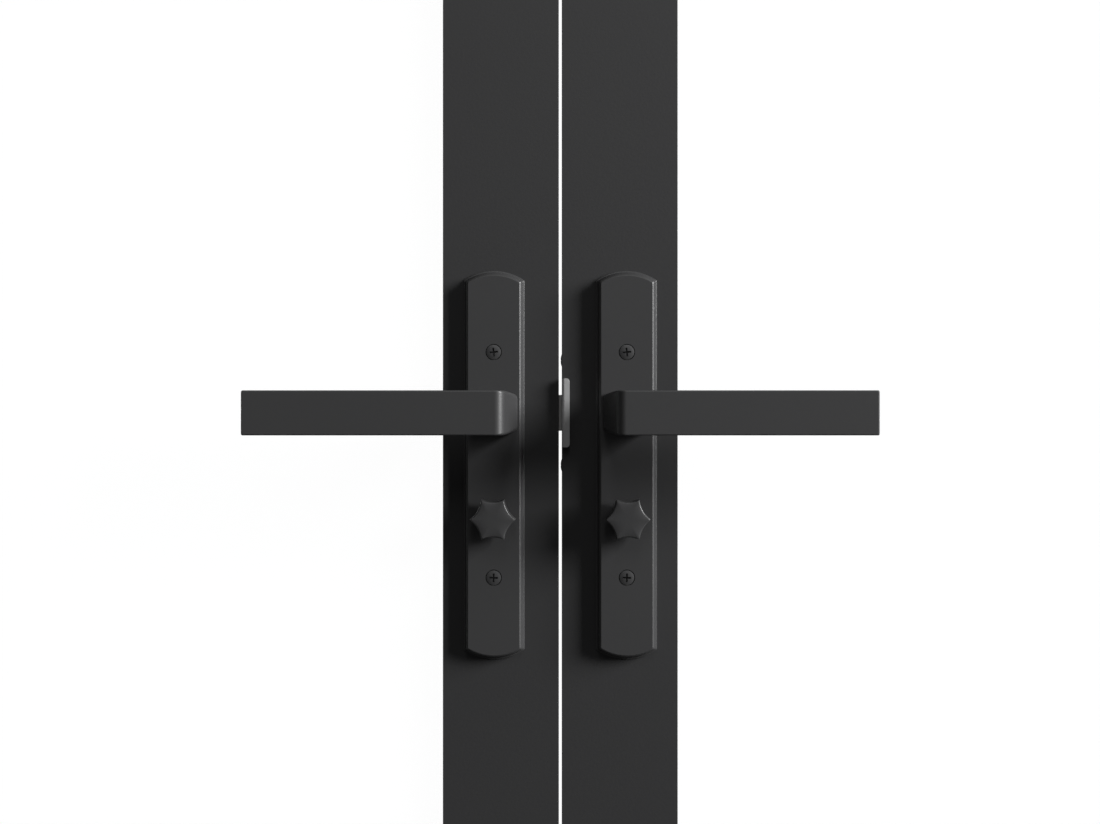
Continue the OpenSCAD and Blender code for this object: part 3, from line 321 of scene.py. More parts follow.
def seal_strip(form, start, end, width_way, low, high, front, back):
    """A strip from start to end, low to high across, with two round lobes towards the front."""
    section = []
    middle = (low + high) / 2
    lobe = (high - low) / 4
    for centre in (low + lobe, middle + lobe):
        for k in range(9 if centre < middle else 8):
            turn = math.pi * (k + (centre > middle)) / 8
            proud = LOBE_FOOT + (1 - LOBE_FOOT) * math.sin(turn)
            section.append((centre - lobe * math.cos(turn), back - (back - front) * proud))
    section += [(high, back), (low, back)]
    rings = []
    for along in (start, end):
        if width_way == "x":
            rings.append([(across, deep, along) for across, deep in section])
        else:
            rings.append([(along, deep, across) for across, deep in section])
    skin(rings, form)


low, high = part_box("frame_seals")
left_x, right_x = low.x + SEAL_MITRE, high.x - SEAL_MITRE
low_z, high_z = low.z + SEAL_MITRE, high.z - SEAL_MITRE
sill_z = low.z + SILL_LIFT
seals = bmesh.new()
seal_strip(seals, low_z, high_z, "x", low.x, low.x + SEAL_W, low.y, high.y)
seal_strip(seals, low_z, high_z, "x", high.x - SEAL_W, high.x, low.y, high.y)
seal_strip(seals, left_x, right_x, "z", sill_z, sill_z + SEAL_W, low.y, high.y)
seal_strip(seals, left_x, right_x, "z", high.z - SEAL_W, high.z, low.y, high.y)
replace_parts(finished("stop_seals", seals, rubber, "root"), "frame_seals")


# ---------------------------------------------------------------- stiles and rails
# The leaves' profiles are hollow extrusions of the same alloy and coat, with a lip in front of
# the glass. The rails butt against the stiles with hairline joints.

for side in ("left", "right"):
    for part in ("hinge_stile", "meeting_stile", "top_rail", "bottom_rail"):
        dressed(f"{side}_{part}", powder_coat)


# ---------------------------------------------------------------- corner blocks and end plugs
# Zinc corner blocks tie the rails to the stiles inside the hollows, and black nylon plugs close
# the stiles' open ends.

zinc = Finish("zinc", Metallic=1.0)
spangle = zinc.node("TexVoronoi", {}, {"Vector": zinc.point, "Scale": 160.0}, out="Distance")
frost = zinc.noise(900.0)
zinc.feed(
    Base_Color=zinc.blend(frost, (0.42, 0.43, 0.45), (0.56, 0.57, 0.59)),
    Roughness=0.34 + 0.14 * frost,
)
zinc.relief(spangle, 0.00002, 0.3)

nylon = Finish("nylon", Specular_IOR_Level=0.4)
mould = nylon.noise(1100.0)
nylon.feed(
    Base_Color=nylon.blend(mould, (0.018, 0.018, 0.019), (0.028, 0.028, 0.029)),
    Roughness=0.4 + 0.15 * mould,
)
nylon.relief(mould, 0.00004, 0.4)

for side in ("left", "right"):
    dressed(f"{side}_corner_blocks", zinc)
    dressed(f"{side}_end_caps", nylon, radius=0.0006)


# ---------------------------------------------------------------- glazing
# Clear 6 mm panes on setting blocks, held between black gaskets, with hollow clip-in beads
# behind. The panes keep their tint and the gloss of their faces, and carry a painted reflection:
# towards grazing angles they turn more opaque and show their pale tint.

glass = Finish("glass", Roughness=0.02, IOR=1.5)
smear = glass.noise(2.2, 4.0)
# painted reflection: alpha grows towards grazing angles, so the panes turn pale and opaque there in place of a
# reflected white studio
rim = glass.node("LayerWeight", {}, {"Blend": 0.25}, out="Fresnel")
glass.feed(
    Base_Color=glass.blend(smear, (0.80, 0.88, 0.86), (0.84, 0.91, 0.89)),
    Alpha=0.02 + 0.3 * rim,
)


def retouch(finish, *names):
    """Gives CAD nodes whose shape is right their finish."""
    for name in names:
        for place in nodes[name].material_slots:
            place.material = finish.material


retouch(glass, "left_glass", "right_glass")

for side in ("left", "right"):
    dressed(f"{side}_glazing_beads", powder_coat, radius=0.0003)


def frame_ring(x, z, inset):
    """The four corners of a rectangle from x[0] to x[1] and z[0] to z[1], drawn in by inset."""
    return [
        (x[0] + inset, z[0] + inset),
        (x[1] - inset, z[0] + inset),
        (x[1] - inset, z[1] - inset),
        (x[0] + inset, z[1] - inset),
    ]


GASKET_W = 0.009
GASKET_EDGE = 0.0006  # half the height of a gasket's visible edge
GASKET_SLOPE = 0.0004
PANE_HOLD = 0.001  # the gaskets stop this far inside the pane's edge
BLOCK_SPOTS = (0.04, 0.12)  # starts of the setting blocks from the pane's ends
BLOCK_L = 0.08

for side in ("left", "right"):
    low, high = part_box(f"{side}_glazing_rubbers")
    pane_low, pane_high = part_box(f"{side}_glass")
    x = (pane_low.x + PANE_HOLD, pane_high.x - PANE_HOLD)
    z = (pane_low.z + PANE_HOLD, pane_high.z - PANE_HOLD)
    rubbers = bmesh.new()
    for front, back in ((low.y, pane_low.y), (pane_high.y, high.y)):
        middle = (front + back) / 2
        edge_w = GASKET_W - GASKET_SLOPE
        section = [(0.0, front), (0.0, back), (edge_w, back), (GASKET_W, middle + GASKET_EDGE)]
        section += [(GASKET_W, middle - GASKET_EDGE), (edge_w, front)]
        corners = []
        for across, deep in section:
            corners.append([(px, deep, pz) for px, pz in frame_ring(x, z, across)])
        loops = [[rubbers.verts.new(point) for point in ring] for ring in corners]
        faces = []
        for this, following in zip(loops, loops[1:] + loops[:1]):
            for k in range(4):
                faces.append(rubbers.faces.new((this[k - 1], this[k], following[k], following[k - 1])))
        bmesh.ops.recalc_face_normals(rubbers, faces=faces)
    for start in (pane_low.x + BLOCK_SPOTS[0], pane_high.x - BLOCK_SPOTS[1]):
        end = start + BLOCK_L
        block = [(start, low.z), (end, low.z), (end, pane_low.z), (start, pane_low.z)]
        skin([[(px, deep, pz) for px, pz in block] for deep in (pane_low.y, pane_high.y)], rubbers)
    made = finished(f"{side}_gaskets", rubbers, rubber, f"{side}_leaf")
    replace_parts(made, f"{side}_glazing_rubbers")


# ---------------------------------------------------------------- hinges
# Five-knuckle butt hinges on fixed pins with capped ends, coated like the handles. The leaves
# lie flush in the edges of the stiles and jambs.

handle_coat = Finish("handle_coat", Specular_IOR_Level=0.5)
skin_tone = handle_coat.noise(9.0, 3.0)
speck = handle_coat.noise(2900.0, 1.0)
ripple = handle_coat.noise(760.0)
handle_coat.feed(
    Base_Color=handle_coat.blend(
        0.5 * skin_tone + 0.5 * speck, (0.039, 0.039, 0.040), (0.046, 0.046, 0.047)
    ),
    Roughness=0.34 + 0.07 * ripple + 0.05 * speck,
)
handle_coat.relief(ripple + 0.3 * speck, 0.00003, 0.4)

for name in ("frame_hinge_leaves", "left_hinge_leaves", "right_hinge_leaves", "hinge_pins"):
    dressed(name, handle_coat, radius=0.0003, edge=0.0007)


# ---------------------------------------------------------------- handle plates
# Zinc castings with arched ends and a sloping rim, finished in a smooth satin coat. They are
# hollow behind, with bosses round their holes; the back plate also carries two threaded posts.

RIM = 0.0018  # upright foot before the plate draws in
DRAFT = 0.0027
FACE_ROUND = 0.0012
LEDGE = 0.0006
WALL = 0.003
HEAD_SINK = 0.0024
HEAD_HOLE = 0.0049
SHANK_HOLE = 0.0028
JOURNAL_HOLE = 0.00908
TURN_HOLE = 0.0051
CYLINDER_HOLE = 0.0087
WIDE_BOSS = 0.0125  # round the lever and the turn
BOLT_BOSS = 0.007
ARCH = 0.0058  # rise of the curved ends
SHOULDER = 0.0007
CUT_PAST = 0.001  # how far a cutting shape runs past the face it opens
POST_R = 0.0043
POST_BORE = 0.0026

spindle_low, spindle_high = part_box("right_spindle")
turn_low, turn_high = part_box("right_star_turn")
bolts_low, bolts_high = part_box("right_plate_bolts")
axis_x = (spindle_low.x + spindle_high.x) / 2
lever_z = (spindle_low.z + spindle_high.z) / 2
turn_z = (turn_low.z + turn_high.z) / 2
HEAD_R = 0.0045
bolt_drops = (bolts_high.z - HEAD_R - lever_z, bolts_low.z + HEAD_R - lever_z)
plate_low, plate_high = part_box("right_front_plate")
plate_t = plate_high.y - plate_low.y
plate_w = plate_high.x - plate_low.x
plate_up, plate_down = plate_high.z - lever_z, lever_z - plate_low.z
plate_face = plate_low.y


def curve_between(start, bend, end, count):
    """Points on a smooth bend from start to end, which pulls towards the bend point."""
    points = []
    for k in range(count + 1):
        t = k / count
        near, pull, far = (1 - t) ** 2, 2 * t * (1 - t), t * t
        points.append(tuple(near * a + pull * b + far * c for a, b, c in zip(start, bend, end)))
    return points


def plate_outline(inset):
    """Outline of a handle plate about the lever's axis: straight sides and arched ends."""
    half = plate_w / 2 - inset
    arch = ARCH - 0.5 * inset
    radius = (half * half + arch * arch) / (2 * arch)
    spread = math.asin(half / radius)
    lead = SHOULDER / radius
    points = []
    for way, reach in ((1, plate_up - 1.1 * inset), (-1, plate_down - 1.1 * inset)):
        arc = []
        for k in range(29):
            turn = (spread - lead) * (1 - 2 * k / 28)
            arc.append((way * radius * math.sin(turn), way * (reach - radius + radius * math.cos(turn))))
        shoulder = way * (reach - arch)
        below = shoulder - way * SHOULDER
        start = curve_between((way * half, below), (way * half, shoulder), arc[0], 4)
        end = curve_between(arc[-1], (-way * half, shoulder), (-way * half, below), 4)
        points += start + arc[1:-1] + end
    return points


def turned(profile, centre, steps=40):
    """Rings of a turned shape about an axis along y: profile is (radius, y) from end to end."""
    rings = []
    for radius, y in profile:
        ring = []
        for k in range(steps):
            turn = 2 * math.pi * k / steps
            ring.append((centre[0] + radius * math.cos(turn), y, centre[1] + radius * math.sin(turn)))
        rings.append(ring)
    return rings


def clean(mesh):
    """Merges the doubled points that a cut leaves, drops faces with no area and closes slits."""
    form = bmesh.new()
    form.from_mesh(mesh)
    bmesh.ops.remove_doubles(form, verts=form.verts, dist=0.000002)
    bmesh.ops.dissolve_degenerate(form, dist=0.000001, edges=form.edges)
    slits = [e for e in form.edges if e.is_boundary]
    bmesh.ops.holes_fill(form, edges=slits, sides=12)
    form.to_mesh(mesh)
    form.free()


def cut_with(made, *tools):
    """Joins or cuts the piece with each (operation, form) in turn, and leaves a plain mesh."""
    for operation, form in tools:
        mesh = bpy.data.meshes.new("tool")
        form.to_mesh(mesh)
        form.free()
        tool = bpy.data.objects.new("tool", mesh)
        bpy.context.scene.collection.objects.link(tool)
        step = made.modifiers.new("step", "BOOLEAN")
        step.operation = operation
        step.solver = "EXACT"
        step.object = tool
        bpy.context.view_layer.update()
        result = bpy.data.meshes.new_from_object(made.evaluated_get(bpy.context.evaluated_depsgraph_get()))
        made.modifiers.remove(step)
        made.data = result
        clean(result)
        bpy.data.objects.remove(tool)
    shade(made.data, 35.0)


def handle_plate(side, way):
    """A plate on the front (way -1) or the back (way 1) of a leaf."""
    x = axis_x if side == "right" else -axis_x
    leaf = leaf_front if way < 0 else leaf_back
    layers = [(0.0, 0.0)]
    layers += curve_between((RIM - 0.0005, 0.0), (RIM, 0.0), (RIM, LEDGE), 4)
    ledge_low, ledge_mid = (RIM + 0.0001, LEDGE + 0.0001), (RIM + 0.0002, LEDGE + 0.0003)
    layers += curve_between(ledge_low, ledge_mid, (RIM + 0.0008, LEDGE + 0.0004), 3)
    slope_top = (plate_t - FACE_ROUND, DRAFT - 0.8 * FACE_ROUND)
    slope_pull = (plate_t - 0.0002, DRAFT - 0.2 * FACE_ROUND)
    layers += curve_between(slope_top, slope_pull, (plate_t, DRAFT + 0.0004), 6)
    rings = []
    for height, inset in layers:
        rings.append([(x + a, leaf + way * height, lever_z + b) for a, b in plate_outline(inset)])
    name = f"{side}_{'front' if way < 0 else 'back'}_plate"
    made = finished(name + "_casting", skin(rings), handle_coat, f"{side}_leaf")

    def drill(radii, z):
        return skin(turned([(r, leaf + way * h) for r, h in radii], (x, z)))

    pocket = []
    pocket_outline = plate_outline(DRAFT + WALL - 0.0005)
    for height in (-CUT_PAST, plate_t - WALL):
        pocket.append([(x + a, leaf + way * height, lever_z + b) for a, b in pocket_outline])
    hollow = finished("hollow", skin(pocket), handle_coat, f"{side}_leaf")
    bosses = [(WIDE_BOSS, lever_z), (WIDE_BOSS, turn_z)]
    bosses += [(BOLT_BOSS, lever_z + drop) for drop in bolt_drops]
    cut_with(hollow, *[("DIFFERENCE", drill([(r, -2 * CUT_PAST), (r, plate_t)], z)) for r, z in bosses])
    room = bmesh.new()
    room.from_mesh(hollow.data)
    bpy.data.objects.remove(hollow)
    top = plate_t + CUT_PAST
    journal_hole = drill([(JOURNAL_HOLE, -CUT_PAST), (JOURNAL_HOLE, top)], lever_z)
    tools = [("DIFFERENCE", room), ("DIFFERENCE", journal_hole)]
    if way < 0:
        tools.append(("DIFFERENCE", drill([(TURN_HOLE, -CUT_PAST), (TURN_HOLE, top)], turn_z)))
        sink = [(SHANK_HOLE, -CUT_PAST), (SHANK_HOLE, plate_t - HEAD_SINK)]
        sink += [(HEAD_HOLE, plate_t - 0.0004), (HEAD_HOLE, top)]
        tools += [("DIFFERENCE", drill(sink, lever_z + drop)) for drop in bolt_drops]
    else:
        if side == "left":
            tools.append(("DIFFERENCE", drill([(CYLINDER_HOLE, -CUT_PAST), (CYLINDER_HOLE, top)], turn_z)))
    cut_with(made, *tools)
    if way > 0:
        post_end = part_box(name)[0].y - leaf
        casting = bmesh.new()
        casting.from_mesh(made.data)
        for drop in bolt_drops:
            post = [(POST_BORE, -0.0001), (POST_BORE, post_end)]
            post += [(POST_R, post_end), (POST_R, plate_t - WALL)]
            skin(turned([(r, leaf + h) for r, h in post], (x, lever_z + drop)), casting)
        casting.to_mesh(made.data)
        casting.free()
        shade(made.data, 35.0)
    even_shade(made)
    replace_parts(made, name)


for side in ("left", "right"):
    handle_plate(side, -1)
    handle_plate(side, 1)


# ---------------------------------------------------------------- screws and plate bolts
# Cross-recessed countersunk screws of bright steel hold the hinges, the forend and the keeps.
# The plates' machine screws and the strike's screws have low domed heads in the handles' coat.

steel = Finish("steel", Metallic=1.0)
grain = steel.noise(1500.0)
steel.feed(Base_Color=steel.blend(grain, (0.52, 0.52, 0.53), (0.64, 0.64, 0.65)), Roughness=0.26 + 0.16 * grain)
steel.relief(grain, 0.00001, 0.3)


def screw_maker():
    """Geometry nodes: a screw at each point, head towards the point's facing."""
    tree = bpy.data.node_groups.new("screws", "GeometryNodeTree")
    face = tree.interface
    face.new_socket("Geometry", in_out="INPUT", socket_type="NodeSocketGeometry")
    sizes = "Head Radius, Shank Radius, Sink, Dome, Length, Recess Reach, Recess Width, Recess Depth"
    for size in sizes.split(", "):
        face.new_socket(size, in_out="INPUT", socket_type="NodeSocketFloat")
    face.new_socket("Material", in_out="INPUT", socket_type="NodeSocketMaterial")
    face.new_socket("Geometry", in_out="OUTPUT", socket_type="NodeSocketGeometry")

    def add(kind, settings=None, sockets=None, out=0):
        made = tree.nodes.new(kind)
        for key, value in (settings or {}).items():
            setattr(made, key, value)
        for key, value in (sockets or {}).items():
            if isinstance(value, bpy.types.NodeSocket):
                tree.links.new(value, made.inputs[key])
            else:
                made.inputs[key].default_value = value
        return made.outputs[out]

    def maths(operation, first, second):
        return add("ShaderNodeMath", {"operation": operation}, {0: first, 1: second})

    def shifted(shape, z):
        offset = add("ShaderNodeCombineXYZ", {}, {"Z": z})
        return add("GeometryNodeTransform", {}, {"Geometry": shape, "Translation": offset})

    given = tree.nodes.new("NodeGroupInput").outputs
    head_r, sink, dome = given["Head Radius"], given["Sink"], given["Dome"]
    head = add(
        "GeometryNodeMeshCylinder",
        {},
        {"Vertices": 36, "Side Segments": 1, "Fill Segments": 5, "Radius": head_r, "Depth": sink},
        out="Mesh",
    )
    head = shifted(head, maths("MULTIPLY", sink, -0.5))
    place = add("GeometryNodeInputPosition")
    apart = tree.nodes.new("ShaderNodeSeparateXYZ")
    tree.links.new(place, apart.inputs[0])
    flat = add("ShaderNodeCombineXYZ", {}, {"X": apart.outputs["X"], "Y": apart.outputs["Y"]})
    out_from_axis = add("ShaderNodeVectorMath", {"operation": "LENGTH"}, {0: flat}, out="Value")
    share = maths("DIVIDE", out_from_axis, head_r)
    crown = maths("MULTIPLY", dome, maths("SUBTRACT", 1.0, maths("POWER", share, 2.6)))
    top = maths("GREATER_THAN", apart.outputs["Z"], -0.00001)
    lift = add("ShaderNodeCombineXYZ", {}, {"Z": maths("MULTIPLY", crown, top)})
    head = add("GeometryNodeSetPosition", {}, {"Geometry": head, "Offset": lift})
    taper = maths("DIVIDE", given["Shank Radius"], head_r)
    shrink = maths("SUBTRACT", taper, 1.0)
    narrow = add("ShaderNodeVectorMath", {"operation": "SCALE"}, {0: flat, "Scale": shrink})
    low_end = maths("LESS_THAN", apart.outputs["Z"], maths("MULTIPLY", sink, -0.5))
    head = add("GeometryNodeSetPosition", {}, {"Geometry": head, "Selection": low_end, "Offset": narrow})
    neck = maths("MULTIPLY", sink, 0.85)  # below the recess, inside the head
    shank_l = maths("SUBTRACT", given["Length"], neck)
    shank = add(
        "GeometryNodeMeshCylinder",
        {},
        {"Vertices": 24, "Radius": given["Shank Radius"], "Depth": shank_l},
        out="Mesh",
    )
    middle = maths("MULTIPLY", maths("ADD", given["Length"], neck), -0.5)
    shank = shifted(shank, middle)
    slots = []
    long, short = given["Recess Reach"], given["Recess Width"]
    for reach, width, deeper in ((long, short, 2.0), (short, long, 2.06)):
        double = [maths("MULTIPLY", value, 2.0) for value in (reach, width)]
        depth = maths("MULTIPLY", given["Recess Depth"], deeper)
        size = add("ShaderNodeCombineXYZ", {}, {"X": double[0], "Y": double[1], "Z": depth})
        slots.append(shifted(add("GeometryNodeMeshCube", {}, {"Size": size}, out="Mesh"), dome))
    cut = tree.nodes.new("GeometryNodeMeshBoolean")
    cut.operation = "DIFFERENCE"
    tree.links.new(head, cut.inputs["Mesh 1"])
    for slot_shape in reversed(slots):
        tree.links.new(slot_shape, cut.inputs["Mesh 2"])
    whole = tree.nodes.new("GeometryNodeJoinGeometry")
    tree.links.new(cut.outputs[0], whole.inputs[0])
    tree.links.new(shank, whole.inputs[0])
    facing = add("GeometryNodeInputNamedAttribute", {"data_type": "FLOAT_VECTOR"}, {"Name": "facing"})
    turn = add("FunctionNodeAlignRotationToVector", {"axis": "Z"}, {"Vector": facing})
    spin = add("FunctionNodeRandomValue", {"data_type": "FLOAT"}, {2: -0.25, 3: 0.25, "Seed": 7}, out=1)
    about = add("ShaderNodeCombineXYZ", {}, {"Z": spin})
    own = add("FunctionNodeEulerToRotation", {}, {"Euler": about})
    turn = add("FunctionNodeRotateRotation", {"rotation_space": "LOCAL"}, {"Rotation": turn, "Rotate By": own})
    points = add("GeometryNodeMeshToPoints", {}, {"Mesh": given["Geometry"]})
    each = {"Points": points, "Instance": whole.outputs[0], "Rotation": turn}
    many = add("GeometryNodeInstanceOnPoints", {}, each)
    real = add("GeometryNodeRealizeInstances", {}, {"Geometry": many})
    coated = add("GeometryNodeSetMaterial", {}, {"Geometry": real, "Material": given["Material"]})
    output = tree.nodes.new("NodeGroupOutput")
    tree.links.new(coated, output.inputs["Geometry"])
    return tree


screw_tree = screw_maker()
WOOD_SCREW = {
    "Head Radius": 0.0038, "Shank Radius": 0.0019, "Sink": 0.0019, "Dome": 0.0, "Length": 0.014,
    "Recess Reach": 0.0021, "Recess Width": 0.00042, "Recess Depth": 0.0014,
}
PLATE_BOLT = {
    "Head Radius": 0.0044, "Shank Radius": 0.0025, "Sink": 0.0024, "Dome": 0.0005, "Length": 0.034,
    "Recess Reach": 0.0026, "Recess Width": 0.0005, "Recess Depth": 0.002,
}


def screws(name, places, sizes, finish, slot, body, *stands_for):
    """Screws at places, each a point and the way that its head faces, as one plain mesh."""
    seeds = bpy.data.meshes.new(name)
    seeds.from_pydata([point for point, _ in places], [], [])
    facing = seeds.attributes.new("facing", "FLOAT_VECTOR", "POINT")
    facing.data.foreach_set("vector", [value for _, way in places for value in way])
    made = bpy.data.objects.new(name, seeds)
    bpy.context.scene.collection.objects.link(made)
    maker = made.modifiers.new("screws", "NODES")
    maker.node_group = screw_tree
    for item in screw_tree.interface.items_tree:
        if item.in_out == "INPUT" and item.name in sizes:
            maker[item.identifier] = sizes[item.name]
        if item.in_out == "INPUT" and item.name == "Material":
            maker[item.identifier] = finish.material
    bpy.context.view_layer.update()
    plain = bpy.data.meshes.new_from_object(made.evaluated_get(bpy.context.evaluated_depsgraph_get()))
    made.modifiers.remove(maker)
    made.data = plain
    clean(plain)
    shade(plain, 32.0)
    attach(made, body)
    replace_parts(made, *stands_for)


def islands(name):
    """Boxes of a CAD node's separate solids."""
    form = bmesh.new()
    form.from_mesh(nodes[name].data)
    bmesh.ops.remove_doubles(form, verts=form.verts, dist=SAME_POINT)
    left = set(form.verts)
    found = []
    while left:
        seed = left.pop()
        group, edge = [seed], [seed]
        while edge:
            for e in edge.pop().link_edges:
                for v in e.verts:
                    if v in left:
                        left.discard(v)
                        group.append(v)
                        edge.append(v)
        co = [v.co.copy() for v in group]
        found.append([(min(c[i] for c in co), max(c[i] for c in co)) for i in range(3)])
    form.free()
    return found


NEAR = 0.000001
END_BAND = 0.0006  # deep enough to hold a head's rim


def screw_places(name):
    """Where each solid screw of a CAD node has its head, found from its box and its wide end."""
    form = bmesh.new()
    form.from_mesh(nodes[name].data)
    points = [v.co.copy() for v in form.verts]
    form.free()
    places = []
    for box in islands(name):
        spans = [high - low for low, high in box]
        along = spans.index(max(spans))
        inside = [p for p in points if all(box[i][0] - NEAR <= p[i] <= box[i][1] + NEAR for i in range(3))]
        centre = [(low + high) / 2 for low, high in box]
        across = [i for i in range(3) if i != along]

        def spread(end):
            near = [p for p in inside if abs(p[along] - box[along][end]) < END_BAND]
            return max(math.hypot(*(p[i] - centre[i] for i in across)) for p in near)

        head_end = 1 if spread(1) > spread(0) else 0
        point = list(centre)
        point[along] = box[along][head_end]
        way = [0.0, 0.0, 0.0]
        way[along] = 1.0 if head_end else -1.0
        places.append((tuple(point), tuple(way)))
    return sorted(places)


STRIKE_ZONE = 0.01  # the strike's own screws lie this near the middle of the doors
for name, body in (("frame_screws", "root"), ("left_screws", "left_leaf"), ("right_screws", "right_leaf")):
    places = [(point, way) for point, way in screw_places(name) if abs(point[0]) > STRIKE_ZONE or way[0] > -0.5]
    screws(name + "_set", places, WOOD_SCREW, steel, "steel", body, name)
for side in ("left", "right"):
    x = axis_x if side == "right" else -axis_x
    places = [((x, plate_face, lever_z + drop), (0.0, -1.0, 0.0)) for drop in bolt_drops]
    name = f"{side}_plate_bolts"
    screws(name + "_set", places, PLATE_BOLT, handle_coat, "handle_coat", f"{side}_leaf", name)


# ---------------------------------------------------------------- levers
# Cast levers in the plates' satin coat: a broad neck turns through a rounded corner into a flat
# rectangular bar with square ends. A round journal runs in the plate, on a square steel spindle.

ROOT_ROUND = 0.006
ELBOW_ROUND = 0.008
BAR_EDGE = 0.0009
NECK_EDGE = 0.0036
ELBOW_EDGE = 0.0022
NECK_TAPER = 0.00115  # by which the neck's foot is lower above and below than the bar
FOOT_HALF = 0.0117
FOOT_LEAN = 0.003
JOURNAL_EDGE = 0.0005
JOURNAL_R = 0.009
LEVER_LIFT = 0.0004


def lever_section(outer, inner, foot_share, edge):
    """A ring of the lever between two points of its plan, (p, v) along it and out from the plate."""
    length = math.dist(outer, inner)
    step = [(b - a) / length for a, b in zip(inner, outer)]
    tall = [lever_h / 2 - NECK_TAPER * share for share in foot_share]
    ring = []
    for along, up, start in ((1, 1, 0), (1, -1, 270), (-1, -1, 180), (-1, 1, 90)):
        for k in range(5, -1, -1):
            turn = math.radians(start + 90 * k / 5)
            t = (length - edge if along > 0 else edge) + edge * math.cos(turn)
            half = tall[1] + (tall[0] - tall[1]) * t / length
            z = up * (half - edge) + edge * math.sin(turn)
            ring.append((inner[0] + step[0] * t, inner[1] + step[1] * t, z))
    return ring


def lever_rings():
    """The lever from its journal up the neck, round the elbow and out to the tip."""
    lean = math.atan2(neck_foot - root_reach, lever_out - LEVER_LIFT)
    centre = (-root_reach + ROOT_ROUND * (1 - math.sin(lean)) / math.cos(lean), lever_out - ROOT_ROUND)
    tangent = (centre[0] - ROOT_ROUND * math.cos(lean), centre[1] + ROOT_ROUND * math.sin(lean))
    bar_back = lever_out - bar_t
    inner_top = neck_foot - FOOT_LEAN
    elbow = (inner_top + ELBOW_ROUND, bar_back - ELBOW_ROUND)
    foot = (neck_foot, LEVER_LIFT)
    count = 24

    def on_line(start, end, v):
        t = (v - start[1]) / (end[1] - start[1])
        return (start[0] + t * (end[0] - start[0]), v)

    def share(v):
        return min(max(1 - v / bar_back, 0.0), 1.0)

    def circle(radius, v):
        ring = []
        for k in range(count):
            turn = math.radians(90 - 360 * k / count)
            ring.append((radius * math.cos(turn), v, radius * math.sin(turn)))
        return ring

    rings = [
        circle(JOURNAL_R - JOURNAL_EDGE, JOURNAL_EDGE - plate_t),
        circle(JOURNAL_R, 2 * JOURNAL_EDGE - plate_t),
        circle(JOURNAL_R, LEVER_LIFT),
    ]
    steps = [(LEVER_LIFT, 0.0004), (LEVER_LIFT + 0.0001, 0.0001), (LEVER_LIFT + 0.0004, 0.0)]
    steps += [(LEVER_LIFT + (elbow[1] - LEVER_LIFT) * k / 6, 0.0) for k in range(1, 7)]
    for v, inset in steps:
        outer = on_line((-neck_foot, LEVER_LIFT), tangent, v)
        inner = on_line(foot, (inner_top, elbow[1]), v)
        edge = NECK_EDGE + (ELBOW_EDGE - NECK_EDGE) * v / elbow[1]
        ring = lever_section((outer[0] + inset, v), (inner[0] - inset, v), (share(v), share(v)), edge)
        rings.append([(p, q, z * (1 - inset / FOOT_HALF)) for p, q, z in ring])
    above = [elbow[1] + (tangent[1] - elbow[1]) * k / 3 for k in (1, 2)]
    outline = [on_line((-neck_foot, LEVER_LIFT), tangent, v) for v in above]
    arc_start = math.pi - lean
    for k in range(13):
        turn = arc_start + (math.pi / 2 - arc_start) * k / 12
        outline.append((centre[0] + ROOT_ROUND * math.cos(turn), centre[1] + ROOT_ROUND * math.sin(turn)))
    outline += [(centre[0] + (elbow[0] - centre[0]) * k / 5, lever_out) for k in range(1, 6)]
    for k, outer in enumerate(outline):
        way = (outer[0] - elbow[0], outer[1] - elbow[1])
        length = math.hypot(*way)
        inner = tuple(c + ELBOW_ROUND * w / length for c, w in zip(elbow, way))
        edge = ELBOW_EDGE + (BAR_EDGE - ELBOW_EDGE) * min(k / 12, 1.0)
        rings.append(lever_section(outer, inner, (share(outer[1]), share(inner[1])), edge))
    for k in range(1, 5):
        p = elbow[0] + (lever_reach - BAR_EDGE - elbow[0]) * k / 4
        rings.append(lever_section((p, lever_out), (p, bar_back), (0.0, 0.0), BAR_EDGE))
    for k in range(1, 5):
        turn = math.pi / 2 * k / 4
        p = lever_reach - BAR_EDGE * (1 - math.sin(turn))
        pull = BAR_EDGE * (1 - math.cos(turn))
        ring = lever_section((p, lever_out - pull), (p, bar_back + pull), (0.0, 0.0), BAR_EDGE)
        rings.append([(a, b, z * (1 - pull / (lever_h / 2))) for a, b, z in ring])
    return rings


low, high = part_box("right_front_lever")
lever_h = high.z - low.z
lever_reach = high.x - axis_x
neck_foot = axis_x - low.x
lever_out = plate_face - low.y
back_plate_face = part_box("right_back_plate")[1].y
bar_t = 0.011
root_reach = 0.0075

for side in ("left", "right"):
    mirror = 1 if side == "right" else -1
    for part, way, face_y in (("front", -1, plate_face), ("back", 1, back_plate_face)):
        rings = []
        for ring in lever_rings():
            rings.append([(mirror * (axis_x + p), face_y + way * v, lever_z + z) for p, v, z in ring])
        name = f"{side}_{part}_lever"
        mesh = skin(rings)
        made = finished(name + "_casting", mesh, handle_coat, f"{side}_handle", sharp=50.0)
        even_shade(made)
        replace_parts(made, name)
    dressed(f"{side}_spindle", steel, radius=0.0004)


# ---------------------------------------------------------------- star turns
# Small six-pointed cast knobs on round collars, with hollow sides and a slightly pillowed face.
# A square shaft carries each one's crank inside the leaf.

STAR_POINTS = 96
STAR_ROUND = 0.0011
COLLAR_R = 0.008
COLLAR_H = 0.004
COLLAR_EDGE = 0.0004
STAR_HOLLOW = 1.25  # radius of the hollow sides and the rest, in star radii
STAR_WAIST = 0.11
BLUNT = 0.99
BLUNT_SOFT = 0.02
FACE_SPREAD = 0.84
RUNNING_GAP = 0.00003  # added to the CAD's gap between the collar and the plate
PILLOW = 0.0005


